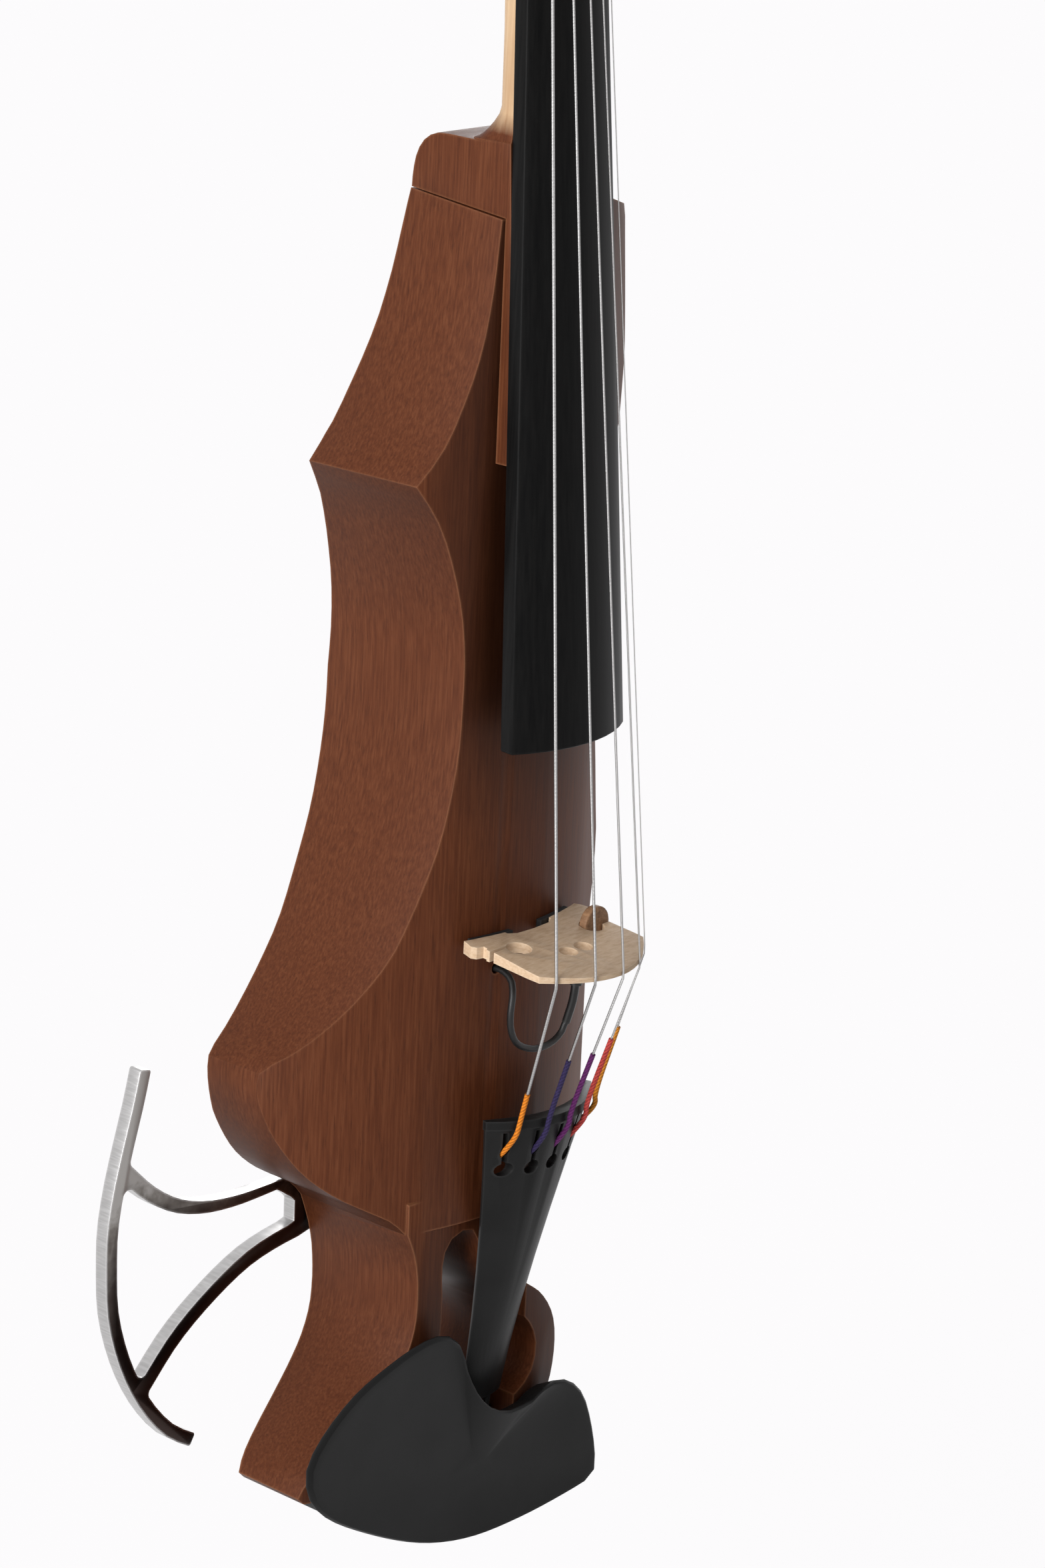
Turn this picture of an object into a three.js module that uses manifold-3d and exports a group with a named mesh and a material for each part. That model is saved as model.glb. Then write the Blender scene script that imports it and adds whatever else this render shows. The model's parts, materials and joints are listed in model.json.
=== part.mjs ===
// Five-string electric violin with a carved body, a steel side bracket and a centre chin rest.
// Millimetres. +X is the treble side, +Y is the back, +Z runs up the neck.
// The origin is on the flat of the back, on the centre line, behind the bridge.
import * as THREE from "three";
import { mergeVertices } from "three/addons/utils/BufferGeometryUtils.js";
import Module from "manifold-3d";

const wasm = await Module();
wasm.setup();

// Shared clearances
const gap = 0.3;
const overrun = 4;
const cornerRoom = 1;

// Body
const bodyDepth = 50.7;
const bellyRadius = 80;
const waistHalf = 23.2;
const topHalf = 16.5;
const bottomBoutHalf = 64.5;
const wingHalf = 34;
const bodyTop = 190.2;
const jointTilt = 3.8;
const boutEnd = 76.8;
const tailEnd = 148.5;
const tailDrop = 2.9;
const tailRadius = 164;
const ringWall = 8;
const flatTop = 67;
const flatBottom = 47;
const heelRise = 17.8;
const tailRise = 14.6;

// Neck and fingerboard
const scaleLength = 328;
const boardEnd = 56.9;
const boardWideEnd = 44.3;
const boardNarrowEnd = 24.6;
const boardAboveBelly = 19;
const boardFallShare = 0.07636;
const boardFall = boardFallShare * (scaleLength - boardEnd);
const boardTopAtEnd = bodyDepth + boardAboveBelly;
const boardTopAtNut = boardTopAtEnd - boardFall;
const boardRadius = 42;
const boardEdge = 4.4;
const boardUndercut = 0.6;
const platformEnd = 129;
const heelLength = 14.8;
const heelFlare = 8;
const neckThickAtHeel = 20.9;
const neckThickAtNut = 17.6;
const neckInset = 1.1;
const nutLength = 5;
const nutRise = 0.9;

// Pegbox and scroll
const pegboxLength = 84;
const pegboxWide = 25;
const pegboxNarrow = 18;
const pegboxDeep = 20;
const pegboxWall = 4.6;
const pegboxFloor = 4.5;
const pegboxLean = 15;
const pegboxStep = 1.5;
const pegboxRound = 4;
const scrollRadius = 17;
const scrollEye = 3.6;
const scrollWide = 40;
const scrollTurns = 2.25;
const scrollForward = 3;
const scrollRise = 14;

// Pegs
const pegShaft = 7.4;
const pegReach = 7;
const pegCollar = 12;
const pegCollarLength = 3;
const pegNeckLength = 7;
const pegThumbWide = 20;
const pegThumbTall = 15;
const pegThumbThick = 5;
const pegTail = 1.5;
const pegTaper = 0.4;
const pegStand = 2;
const pegRound = 0.6;
const pegTipLength = 1.4;
const pegTipRadius = 1.5;

// Strings
const stringSizes = [1.1, 0.9, 0.8, 0.65, 0.4];
const bridgeSpacing = 9.26;
const nutSpacing = 4.52;
const tailSpacing = 7.5;
const keySpacing = 6.9;
const stringAboveBelly = 34.2;
const stringHeight = bodyDepth + stringAboveBelly;
const stringCurve = 23;
const stringLean = 0.026;
const stringRest = 0.12;
const wrapTurns = 3;
const wrapRoom = 0.45;
const wrapShift = 1.5;
const nutRoom = 0.2;
const silkSize = 1.7;
const silkStarts = [35.2, 25.8, 25.8, 24, 24];

// Bridge
const bridgeHeight = 33;
const bridgeFootHalf = 20.75;
const bridgeFootGap = 17.7;
const bridgeTopHalf = 21.5;
const bridgeThick = 3.4;
const bridgeThinTop = 1.2;
const bridgeLean = 1.9;
const crownBack = 0.6;
const kidneyRadius = 3.5;
const heartRadius = 2.6;
const slitWidth = 1.1;
const padThick = 1.6;
const discRadius = 4.8;
const discThick = 2.4;
const leadSize = 1.8;
const sleeveSize = 2.3;
const leadHoleShare = -0.273;
const leadHoleDropShare = 0.174;

// Tailpiece
const tailpieceTop = 45.5;
const tailpieceTip = 135.5;
const tailpieceWide = 41.6;
const tailpieceNarrow = 16.2;
const tailpieceAboveBelly = 17.6;
const tailpieceDrop = 23.9;
const tailpieceHeightTop = bodyDepth + tailpieceAboveBelly;
const tailpieceHeightTip = tailpieceHeightTop - tailpieceDrop;
const tailpieceArch = 9.5;
const tailpieceTipArch = 1.3;
const tailpieceThick = 3.2;
const tailpieceEdge = 0.9;
const fretRise = 0.6;
const fretFront = 1.4;
const fretBack = 1.2;
const slotLine = 53.3;
const keyholeLine = 59.5;
const keyholeSize = 4.2;
const slotWidth = 1.3;
const tailgutSize = 1.8;
const gutHalf = 4;
const gutOut = 2.2;
const saddleLong = 7;
const saddleRise = 5.4;
const saddleRound = 1.2;
const pinRadius = 7.4;
const pinDrop = 10;
const pinHoleSize = 8;
const pinHoleDeep = 9;
const reliefHalf = 12.5;
const tailChannelHalf = 9;
const tailChannelDepth = 14.7;
const tailChannelLevel = bodyDepth - tailChannelDepth;

// Chin rest
const chinAboveBelly = 2.7;
const chinLevel = bodyDepth + chinAboveBelly;
const chinThick = 5;
const chinDish = 2.2;
const chinHalf = 58;
const chinLeft = 20;
const chinTopLine = 105;
const chinLong = 66;
const clampWide = 37;
const clampCentre = 38.5;
const clampBar = 1.8;
const clampMiddle = 27.3;
const clampSplit = 3;
const clampLip = 7;
const footInset = 8;
const barrelSize = 4.6;
const barrelLength = 17;
const barrelSpacing = 14;
const corkThick = 1;
const corkInset = 3;

// Side bracket
const bracketThick = 4;
const bracketLevel = 4.8;
const bracketReach = 104.4;
const bracketRim = 3.8;
const bracketArm = 4.7;
const bracketArmEnd = 2.3;
const bracketFillet = 2;
const bracketCorner = 0.8;
const bracketScrew = 4;
const bracketScrewLength = 14;
const screwFar = 27;
const screwNear = 13;
const tongueHalf = 7;
const tongueLeft = 35;
const tongueRight = 6;
const tongueMiddle = 69.5;

// Electronics
const pocketDepth = 20.5;
const recessDepth = 2.6;
const coverThick = 2;
const electronicsWide = 60;
const electronicsMiddle = -11;
const electronicsTop = 12;
const electronicsBottom = 44;
const recessLip = 3.5;
const batteryWide = 26.2;
const batteryLong = 48;
const batteryDeep = 16.6;
const batteryBottom = 13.5;
const batteryWall = 0.9;
const controlSide = 39.8;
const controlTop = 10;
const controlBottom = 60;
const controlDepth = 8;
const potSize = 13;
const potLength = 8;
const potThread = 6.6;
const shaftSize = 5.6;
const knobSize = 13;
const knobLength = 9;
const jackBarrel = 9;
const jackLength = 24;
const jackBore = 6.6;
const circuitThick = 1.6;
const circuitInset = 6;
const circuitStandoff = 3;
const plateThick = 1;
const plateMargin = 1.5;
const leadChannel = 6;
const screwHead = 5;
const screwShank = 2.6;
const screwLength = 7;
const screwRoom = 1.5;
const screwHeadThick = 1.6;
const screwBevel = 0.5;
const hingePinSize = 1.6;
const hingeBarrel = 3.2;
const hingeDepth = 2.1;
const pinGrip = 3;
const studSize = 5.4;
const studSpacing = 12.6;
const snapThick = 2.8;
const snapRoom = 5;
const wireSize = 1.8;

// Curves and solids

const v2 = (x, y) => new THREE.Vector2(x, y);
const v3 = (x, y, z) => new THREE.Vector3(x, y, z);

// A smooth line through points, cut into equal steps.
function smooth(points, steps) {
  const path = new THREE.CatmullRomCurve3(points.map(([x, y]) => v3(x, y, 0)), false, "centripetal");
  return path.getSpacedPoints(steps).map((p) => [p.x, p.y]);
}

// Points of a circular arc, both ends included.
function arc(cx, cy, radius, from, to, steps) {
  const turn = (i) => from + ((to - from) * i) / steps;
  return Array.from({ length: steps + 1 }, (_, i) => [
    cx + radius * Math.cos(turn(i)),
    cy + radius * Math.sin(turn(i)),
  ]);
}

// A three.js geometry as a manifold solid, with its faces turned out.
function solid(geometry) {
  const bare = geometry.index ? geometry.toNonIndexed() : geometry.clone();
  bare.deleteAttribute("normal");
  bare.deleteAttribute("uv");
  const merged = mergeVertices(bare, 1e-4);
  const at = merged.attributes.position.array;
  const triVerts = new Uint32Array(merged.index.array);
  let volume = 0;
  const corner = (i) => v3(at[3 * triVerts[i]], at[3 * triVerts[i] + 1], at[3 * triVerts[i] + 2]);
  for (let i = 0; i < triVerts.length; i += 3) {
    volume += corner(i).dot(corner(i + 1).cross(corner(i + 2)));
  }
  for (let i = 0; volume < 0 && i < triVerts.length; i += 3) {
    [triVerts[i + 1], triVerts[i + 2]] = [triVerts[i + 2], triVerts[i + 1]];
  }
  return new wasm.Manifold(new wasm.Mesh({ numProp: 3, vertProperties: at, triVerts }));
}

// A manifold solid as a three.js geometry.
function geometryOf(body) {
  const mesh = body.getMesh();
  const geometry = new THREE.BufferGeometry();
  geometry.setAttribute("position", new THREE.BufferAttribute(new Float32Array(mesh.vertProperties), 3));
  geometry.setIndex(new THREE.BufferAttribute(new Uint32Array(mesh.triVerts), 1));
  geometry.computeVertexNormals();
  return geometry;
}

const join = (solids) => solids.reduce((whole, piece) => whole.add(piece));
const cut = (body, ...tools) => tools.reduce((whole, tool) => whole.subtract(tool), body);

// The three directions in which an outline is extruded.
const alongX = new THREE.Matrix4().makeBasis(v3(0, 1, 0), v3(0, 0, 1), v3(1, 0, 0));
const alongY = new THREE.Matrix4().makeBasis(v3(1, 0, 0), v3(0, 0, 1), v3(0, -1, 0));
const alongZ = new THREE.Matrix4();

// An outline extruded between two stations. Along X its points are (y, z), along Y (x, z), along Z (x, y).
function prism(points, direction, from, to, holes = []) {
  const shape = new THREE.Shape(points.map(([x, y]) => v2(x, y)));
  shape.holes = holes.map((hole) => new THREE.Path(hole.map(([x, y]) => v2(x, y))));
  const geometry = new THREE.ExtrudeGeometry(shape, { depth: to - from, bevelEnabled: false });
  const start = direction === alongY ? -to : from;
  geometry.translate(0, 0, start);
  return solid(geometry.applyMatrix4(direction));
}

// A box between two corners.
function block(x0, x1, y0, y1, z0, z1) {
  const geometry = new THREE.BoxGeometry(x1 - x0, y1 - y0, z1 - z0);
  return solid(geometry.translate((x0 + x1) / 2, (y0 + y1) / 2, (z0 + z1) / 2));
}

// A round bar between two points.
function rod(a, b, radius, sides = 20) {
  const length = a.distanceTo(b);
  const geometry = new THREE.CylinderGeometry(radius, radius, length, sides);
  const turn = new THREE.Quaternion().setFromUnitVectors(v3(0, 1, 0), b.clone().sub(a).normalize());
  geometry.applyQuaternion(turn);
  const middle = a.clone().add(b).multiplyScalar(1 / 2);
  return solid(geometry.translate(middle.x, middle.y, middle.z));
}

// A turned piece: (radius, distance) pairs about a line from a point.
function turned(profile, origin, axis, sides = 24) {
  const geometry = new THREE.LatheGeometry(profile.map(([r, d]) => v2(r, d)), sides);
  const turn = new THREE.Quaternion().setFromUnitVectors(v3(0, 1, 0), axis.clone().normalize());
  geometry.applyQuaternion(turn);
  return solid(geometry.translate(origin.x, origin.y, origin.z));
}

// Triangles across a flat ring of points, wound the same way as the ring.
function capFaces(ring) {
  const normal = v3(0, 0, 0);
  ring.forEach((p, i) => normal.add(p.clone().cross(ring[(i + 1) % ring.length])));
  const [nx, ny, nz] = normal.toArray().map(Math.abs);
  const across = ny >= nx ? (p) => v2(p.z, p.x) : (p) => v2(p.y, p.z);
  const drop = nz >= nx && nz >= ny ? (p) => v2(p.x, p.y) : across;
  const flat = ring.map(drop);
  const turn = Math.sign(THREE.ShapeUtils.area(flat));
  const sameTurn = (face) => Math.sign(THREE.ShapeUtils.area(face.map((i) => flat[i]))) === turn;
  const faces = THREE.ShapeUtils.triangulateShape(flat, []);
  return faces.map((face) => (sameTurn(face) ? face : [...face].reverse()));
}

// A closed skin over flat rings of points that all hold the same number of points.
function loft(rings) {
  const sides = rings[0].length;
  const index = [];
  const lastRing = (rings.length - 1) * sides;
  for (let j = 0; j < sides; j++) {
    const k = (j + 1) % sides;
    for (let i = 0; i < lastRing; i += sides) {
      index.push(i + j, i + k, i + sides + k);
      index.push(i + j, i + sides + k, i + sides + j);
    }
  }
  capFaces(rings[0]).forEach(([a, b, c]) => index.push(a, c, b));
  capFaces(rings[rings.length - 1]).forEach((face) => index.push(...face.map((i) => lastRing + i)));
  const geometry = new THREE.BufferGeometry();
  const positions = rings.flat().flatMap((p) => [p.x, p.y, p.z]);
  geometry.setAttribute("position", new THREE.Float32BufferAttribute(positions, 3));
  geometry.setIndex(index);
  return solid(geometry);
}

// A route that keeps its own points as the stations of a tube.
class Route extends THREE.Curve {
  constructor(points) {
    super();
    this.points = points;
  }
  getPoint(t) {
    const last = this.points.length - 1;
    const at = Math.min(Math.floor(t * last + 1e-9), last - 1);
    return this.points[at].clone().lerp(this.points[at + 1], t * last - at);
  }
  getPointAt(t) {
    return this.getPoint(t);
  }
  getSpacedPoints(count) {
    return this.getPoints(count);
  }
  getTangentAt(t) {
    const step = 1 / (2 * (this.points.length - 1));
    const before = this.getPoint(Math.max(0, t - step));
    return this.getPoint(Math.min(1, t + step)).sub(before).normalize();
  }
}

// A round tube along a list of points.
function tube(points, radius, sides = 8) {
  const section = arc(0, 0, radius, 0, 2 * Math.PI, sides).slice(0, sides);
  const shape = new THREE.Shape(section.map(([x, y]) => v2(x, y)));
  const settings = { steps: points.length - 1, bevelEnabled: false, extrudePath: new Route(points) };
  return solid(new THREE.ExtrudeGeometry(shape, settings));
}

// The same route with its corners rounded, cut into equal steps.
function easedRoute(points, steps) {
  const path = new THREE.CatmullRomCurve3(points.map((p) => v3(...p)), false, "centripetal");
  return path.getSpacedPoints(steps);
}

// Heights of the main surfaces

const jointAt = (y) => bodyTop + (jointTilt * (y + bodyDepth)) / (bodyDepth - heelRise);
const bellyAt = (x, lift = 0) => {
  const radius = bellyRadius + lift;
  return bellyRadius - bodyDepth - Math.sqrt(radius * radius - x * x);
};
const tailFaceAt = (x) => tailDrop - bodyDepth + (x * x) / (2 * tailRadius);
const boardShare = (z) => (z - boardEnd) / (scaleLength - boardEnd);
const boardHalf = (z) => (boardWideEnd + (boardNarrowEnd - boardWideEnd) * boardShare(z)) / 2;
const boardTop = (z) => -(boardTopAtEnd + (boardTopAtNut - boardTopAtEnd) * boardShare(z));
const boardSag = (x) => boardRadius - Math.sqrt(boardRadius * boardRadius - x * x);
const boardUnder = (z) => boardTop(z) + boardSag(boardHalf(z)) + boardEdge;
const neckShare = (z) => (z - bodyTop - heelLength) / (scaleLength - bodyTop - heelLength);
const neckSwell = neckThickAtHeel - neckThickAtNut;
const neckThick = (z) => neckThickAtNut + neckSwell * Math.max(0, 1 - neckShare(z)) ** 7;
const pegboxStart = scaleLength + nutLength;
const stringX = (i, spacing) => (i - 2) * spacing;
const stringY = (x) => -(stringHeight - (x * x) / (2 * stringCurve) - stringLean * x);

// Body

// Shares of the waist half width and of the body top, from the heel down to the lower bout.
const leftSideShares = [
  [0.711, 1.03], [0.745, 0.996], [0.823, 0.9], [0.933, 0.828], [1.13, 0.757], [1.33, 0.702], [1.6, 0.655],
];
const waistShares = [
  [1.6, 0.655], [1.345, 0.602], [1.09, 0.503], [1, 0.426], [0.995, 0.35], [1.02, 0.285], [1.095, 0.22],
  [1.215, 0.155], [1.43, 0.08], [1.685, 0.005], [1.94, -0.044], [2.24, -0.092], [2.49, -0.127],
  [2.68, -0.149],
];
// Shares of the lower bout half width and of its end, round the bottom of the lower bout.
const lowerBoutShares = [
  [0.968, 0.37], [0.993, 0.4], [1, 0.45], [0.985, 0.545], [0.946, 0.65], [0.868, 0.768], [0.775, 0.846],
  [0.66, 0.91], [0.57, 0.958], [0.515, 1.01],
];
// The tail block's left side, in shares of the lower bout half width and of the tail end.
const tailLeftShares = [
  [0.515, 0.522], [0.48, 0.562], [0.459, 0.61], [0.455, 0.66], [0.462, 0.7], [0.487, 0.742],
  [0.54, 0.785], [0.626, 0.828], [0.733, 0.872], [0.85, 0.918], [0.948, 0.962], [0.98, 0.988],
];
// The right side, from the shoulder down to the control flat.
const rightSideShares = [
  [1.74, 0.985], [1.78, 0.983], [1.815, 0.96], [1.86, 0.93], [1.93, 0.885], [2.01, 0.827], [2.065, 0.77],
  [2.03, 0.72],
];
const rightWaistShares = [
  [2.03, 0.72], [1.97, 0.675], [1.8, 0.635], [1.58, 0.56], [1.47, 0.46], [1.47, 0.35], [1.55, 0.27],
  [1.65, 0.223], [1.79, 0.135], [1.875, 0.08], [1.84, 0.03], [1.76, -0.02], [1.716, -0.05],
];
const rightBoutShares = [
  [0.617, 0.79], [0.6, 0.84], [0.53, 0.9], [0.42, 0.948], [0.29, 0.985], [0.16, 1.02],
];
// The ring's outer edge on the right, round to the flat end.
const ringShares = [
  [0.07, 0.545], [0.035, 0.58], [0.05, 0.625], [0.11, 0.665], [0.19, 0.7], [0.29, 0.732], [0.37, 0.77],
  [0.42, 0.81], [0.437, 0.85], [0.43, 0.895], [0.4, 0.935], [0.33, 0.975], [0.22, 1],
];
// The opening under the tailpiece.
const openingShares = [
  [-0.225, 0.543], [-0.3, 0.558], [-0.33, 0.6], [-0.325, 0.66], [-0.325, 0.72], [-0.335, 0.775],
  [-0.31, 0.83], [-0.235, 0.876], [-0.1, 0.908], [0.05, 0.921], [0.17, 0.915], [0.255, 0.89],
  [0.288, 0.848], [0.26, 0.805], [0.2, 0.772], [0.11, 0.74], [0.0, 0.7], [-0.075, 0.655], [-0.115, 0.61],
  [-0.13, 0.575], [-0.17, 0.547], [-0.225, 0.543],
];

const mainLeft = ([x, z]) => [-x * waistHalf, z * bodyTop];
const mainRight = ([x, z]) => [x * waistHalf, z * bodyTop];
const boutLeft = ([x, z]) => [-x * bottomBoutHalf, -z * boutEnd];
const boutRight = ([x, z]) => [x * bottomBoutHalf, -z * boutEnd];
const tailLeft = ([x, z]) => [-x * bottomBoutHalf, -z * tailEnd];
const tailRight = ([x, z]) => [x * bottomBoutHalf, -z * tailEnd];

function mainOutline() {
  const left = [
    ...smooth(leftSideShares.map(mainLeft), 13),
    ...smooth(waistShares.map(mainLeft), 30).slice(1),
    ...smooth(lowerBoutShares.map(boutLeft), 20).slice(1),
  ];
  const bottom = arc(0, boutEnd * 3 - boutEnd, boutEnd * 3, Math.PI * 1.4, Math.PI * 1.6, 14);
  const right = [
    ...smooth(rightBoutShares.map(boutRight).reverse(), 10),
    [controlSide, -controlBottom],
    [controlSide, -controlTop],
    ...smooth(rightWaistShares.map(mainRight).reverse(), 22),
    ...smooth(rightSideShares.map(mainRight).reverse(), 12).slice(1),
  ];
  const room = Math.min(right[0][0], -left[left.length - 1][0]) - cornerRoom;
  const between = bottom.filter(([x]) => Math.abs(x) < room);
  return [...left, ...between, ...right, [topHalf, bodyTop + overrun]];
}

function tailOutline() {
  const left = smooth(tailLeftShares.map(tailLeft), 26);
  const right = smooth(ringShares.map(tailRight).reverse(), 24);
  const inside = -boutEnd + ringWall;
  const corner = [-0.955 * bottomBoutHalf, -tailEnd];
  return [[-0.515 * bottomBoutHalf, inside], ...left, corner, ...right, [0.16 * bottomBoutHalf, inside]];
}

// The side view of the body: flat behind the bridge, falling away to the heel and to the tail.
const backTopShares = [
  [0, 0], [0.05, 0.11], [0.12, 0.27], [0.21, 0.4], [0.33, 0.52], [0.51, 0.64], [0.68, 0.75],
  [0.83, 0.86], [1, 1],
];
const backTailShares = [
  [0, 0], [0.06, 0.07], [0.23, 0.23], [0.39, 0.4], [0.51, 0.6], [0.66, 0.75], [0.8, 0.88], [0.97, 1.01],
];

function backProfile() {
  const topLong = bodyTop + jointTilt - flatTop;
  const tailLong = tailEnd - flatBottom;
  const rise = smooth(backTopShares.map(([y, z]) => [-y * heelRise, flatTop + z * topLong]), 12);
  const fall = smooth(backTailShares.map(([y, z]) => [-y * tailRise, -flatBottom - z * tailLong]), 9);
  const front = -bodyDepth - overrun;
  return [[front, -tailEnd], ...fall.reverse(), ...rise, [front, jointAt(front)]];
}

// The solid under the belly arch, grown by a lift and kept between two stations.
function bellyArch(lift, from, to) {
  const radius = bellyRadius + lift;
  const wing = -Math.acos(wingHalf / bellyRadius);
  const points = arc(0, bellyRadius - bodyDepth, radius, -Math.PI * 0.83, wing, 22);
  const last = points[points.length - 1];
  const reach = bellyRadius / 2;
  const tip = [last[0] - Math.sin(wing) * reach, last[1] + Math.cos(wing) * reach];
  return prism([[points[0][0], overrun], ...points, tip, [tip[0], overrun]], alongZ, from, to);
}

function tailArch() {
  const half = bottomBoutHalf + overrun;
  const across = Array.from({ length: 17 }, (_, i) => half * ((i - 8) / 8));
  const face = across.map((x) => [x, tailFaceAt(x)]);
  return prism([[-half, overrun], ...face, [half, overrun]], alongZ, -tailEnd - overrun, -boutEnd + ringWall);
}

const electronicsCentre = -(electronicsTop + electronicsBottom) / 2;
const potHeight = -(recessDepth + potSize / 2 + 4 * gap);
const controlLong = controlBottom - controlTop;
const knobStations = [-(controlTop + controlLong * 0.18), -(controlTop + controlLong * 0.5)];
const potSeat = controlSide - controlDepth;
const cableTop = v3(leadHoleShare * bridgeHeight, -bodyDepth - overrun, -leadHoleDropShare * bridgeHeight);
const cableEnd = v3(cableTop.x, -pocketDepth + gap, -electronicsTop - leadSize * 1.3);
const jackStation = -(controlTop + controlLong * 0.83);
const doorTop = batteryBottom + batteryLong + batteryWall + recessLip;
const hingeLine = v3(0, -hingeDepth, doorTop - hingeBarrel / 2 - gap);
const bracketScrews = [[-screwFar, -tongueMiddle], [-screwNear, -tongueMiddle]];
const coverScrews = [-1, 1].flatMap((sx) => [-1, 1].map((sz) => [sx, sz]));
const coverHalfX = electronicsWide / 2 + recessLip;
const coverHalfZ = (electronicsBottom - electronicsTop) / 2 + recessLip;
const coverSpan = [electronicsCentre - coverHalfZ, electronicsCentre + coverHalfZ];
const coverScrewAt = ([sx, sz]) => [
  electronicsMiddle + sx * (coverHalfX - screwHead / 2),
  electronicsCentre + sz * (coverHalfZ - screwHead),
];

function bodySolid() {
  const main = prism(mainOutline(), alongY, -bodyDepth - overrun, overrun);
  const arched = main.intersect(bellyArch(0, -boutEnd - overrun, bodyTop + overrun * 2));
  const opening = smooth(openingShares.map(tailRight), 38).slice(0, -1);
  const tail = prism(tailOutline(), alongY, -bodyDepth - overrun, overrun, [opening]);
  const whole = arched.add(tail.intersect(tailArch()));
  const reach = bottomBoutHalf + overrun;
  const shaped = whole.intersect(prism(backProfile(), alongX, -reach, reach));
  return cut(shaped, ...pocketTools(), ...drillTools(), ...tailTools());
}

// Pockets milled from the back, and the notches for what is let into the body.
function pocketTools() {
  const ex = electronicsWide / 2;
  const em = electronicsMiddle;
  const bx = batteryWide / 2 + batteryWall;
  const battery = [batteryBottom - batteryWall, batteryBottom + batteryLong + batteryWall];
  const floor = -bracketLevel - gap;
  const channel = leadChannel / 2;
  const channelSpan = [channelLevel - channel, channelLevel + channel];
  const lip = bx + recessLip;
  return [
    block(em - ex, em + ex, -pocketDepth, overrun, -electronicsBottom, -electronicsTop),
    block(em - coverHalfX, em + coverHalfX, -recessDepth, overrun, ...coverSpan),
    block(-bx, bx, -pocketDepth, overrun, ...battery),
    block(-lip, lip, -recessDepth, overrun, battery[0] - recessLip, battery[1] + recessLip),
    block(-channel, channel, ...channelSpan, -electronicsTop - gap, battery[0] + gap),
    prism(bracketTongue(gap), alongY, floor, overrun),
    prism(upperArm(gap), alongY, floor, overrun),
    prism(lowerArm(gap), alongY, floor, overrun),
    prism(bracketWeb(gap), alongY, floor, overrun),
  ];
}

// Drilled holes: pots, jack, cable, and the screws and pins.
function drillTools() {
  const inside = electronicsMiddle + electronicsWide / 2 - gap;
  const outside = controlSide + overrun;
  const pots = knobStations.flatMap((z) => [
    rod(v3(inside, potHeight, z), v3(outside, potHeight, z), potThread / 2 + gap),
    rod(v3(inside, potHeight, z), v3(potSeat, potHeight, z), potSize / 2 + gap, 28),
  ]);
  const jackEnd = controlSide - jackLength - leadChannel;
  const jackLeadX = jackEnd + leadChannel / 2;
  const drill = (x, z, deep, size) => rod(v3(x, -deep - screwRoom, z), v3(x, overrun, z), size / 2 + gap, 12);
  const screws = coverScrews.map(coverScrewAt).map(([x, z]) => drill(x, z, screwLength, screwShank));
  const bracket = bracketScrews.map(([x, z]) => drill(x, z, bracketScrewLength, bracketScrew));
  const jackRun = [jackStation, -electronicsBottom + overrun].map((z) => v3(jackLeadX, potHeight, z));
  const pinReach = v3(batteryWide / 2 + batteryWall + recessLip + pinGrip + gap, 0, 0);
  const barrelReach = v3(batteryWide / 2 + batteryWall + gap, 0, 0);
  return [
    ...pots,
    rod(v3(jackEnd, potHeight, jackStation), v3(outside, potHeight, jackStation), jackBarrel / 2 + gap, 20),
    rod(...jackRun, leadChannel / 2 - gap, 12),
    rod(hingeLine.clone().sub(pinReach), hingeLine.clone().add(pinReach), hingePinSize / 2 + gap / 2, 12),
    rod(hingeLine.clone().sub(barrelReach), hingeLine.clone().add(barrelReach), hingeBarrel / 2 + gap, 16),
    rod(cableTop, cableEnd, leadSize * 0.9, 10),
    ...screws,
    ...bracket,
  ];
}

// The relief under the tailpiece in shares of the tail end, the first and last of them at the surface.
const reliefShares = [0.626, 0.6465, 0.7, 0.754, 0.875];

// The channel for the tail gut, the saddle seat and the end pin hole.
function tailTools() {
  const bottom = -tailEnd;
  const outside = -bodyDepth - overrun;
  const levels = reliefShares.map((share) => -share * tailEnd);
  const under = levels.slice(1).map((z) => [tailHeight(z) + tailArchAt(z) + tailpieceThick + 2 * gap, z]);
  const side = [[outside, levels[0]], ...under, [outside, levels[levels.length - 1]]];
  return [
    prism(side, alongX, -reliefHalf, reliefHalf),
    block(-tailChannelHalf, tailChannelHalf, outside, -tailChannelLevel, bottom - overrun, -0.9 * tailEnd),
    rod(v3(0, pinLevel, bottom - overrun), v3(0, pinLevel, bottom + pinHoleDeep), pinHoleSize / 2 + gap, 20),
  ];
}

// Neck, with its heel, platform, pegbox and scroll in one piece of wood

const heelRoot = jointAt(-heelRise) + gap;
const heelTop = heelRoot + heelLength;

// A round-backed section that grows full where the neck flares into the top of its heel.
function neckRing(z) {
  const flare = Math.max(0, Math.min(1, 1 - (z - heelTop) / heelFlare));
  const full = 1 - Math.sqrt(1 - flare * flare);
  const narrow = boardHalf(z) - neckInset;
  const half = narrow + (topHalf - narrow) * full;
  const top = boardUnder(z) + gap;
  const deep = (neckThick(z) + boardTop(z) - top) * (1 + 0.2 * full);
  const power = 1 / (1 + 3 * full);
  const spread = (value) => Math.sign(value) * Math.abs(value) ** power;
  const section = arc(0, 0, 1, Math.PI, 0, 16);
  return section.map(([x, y]) => v3(spread(x) * half, top + spread(Math.abs(y)) * deep, z));
}

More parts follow.
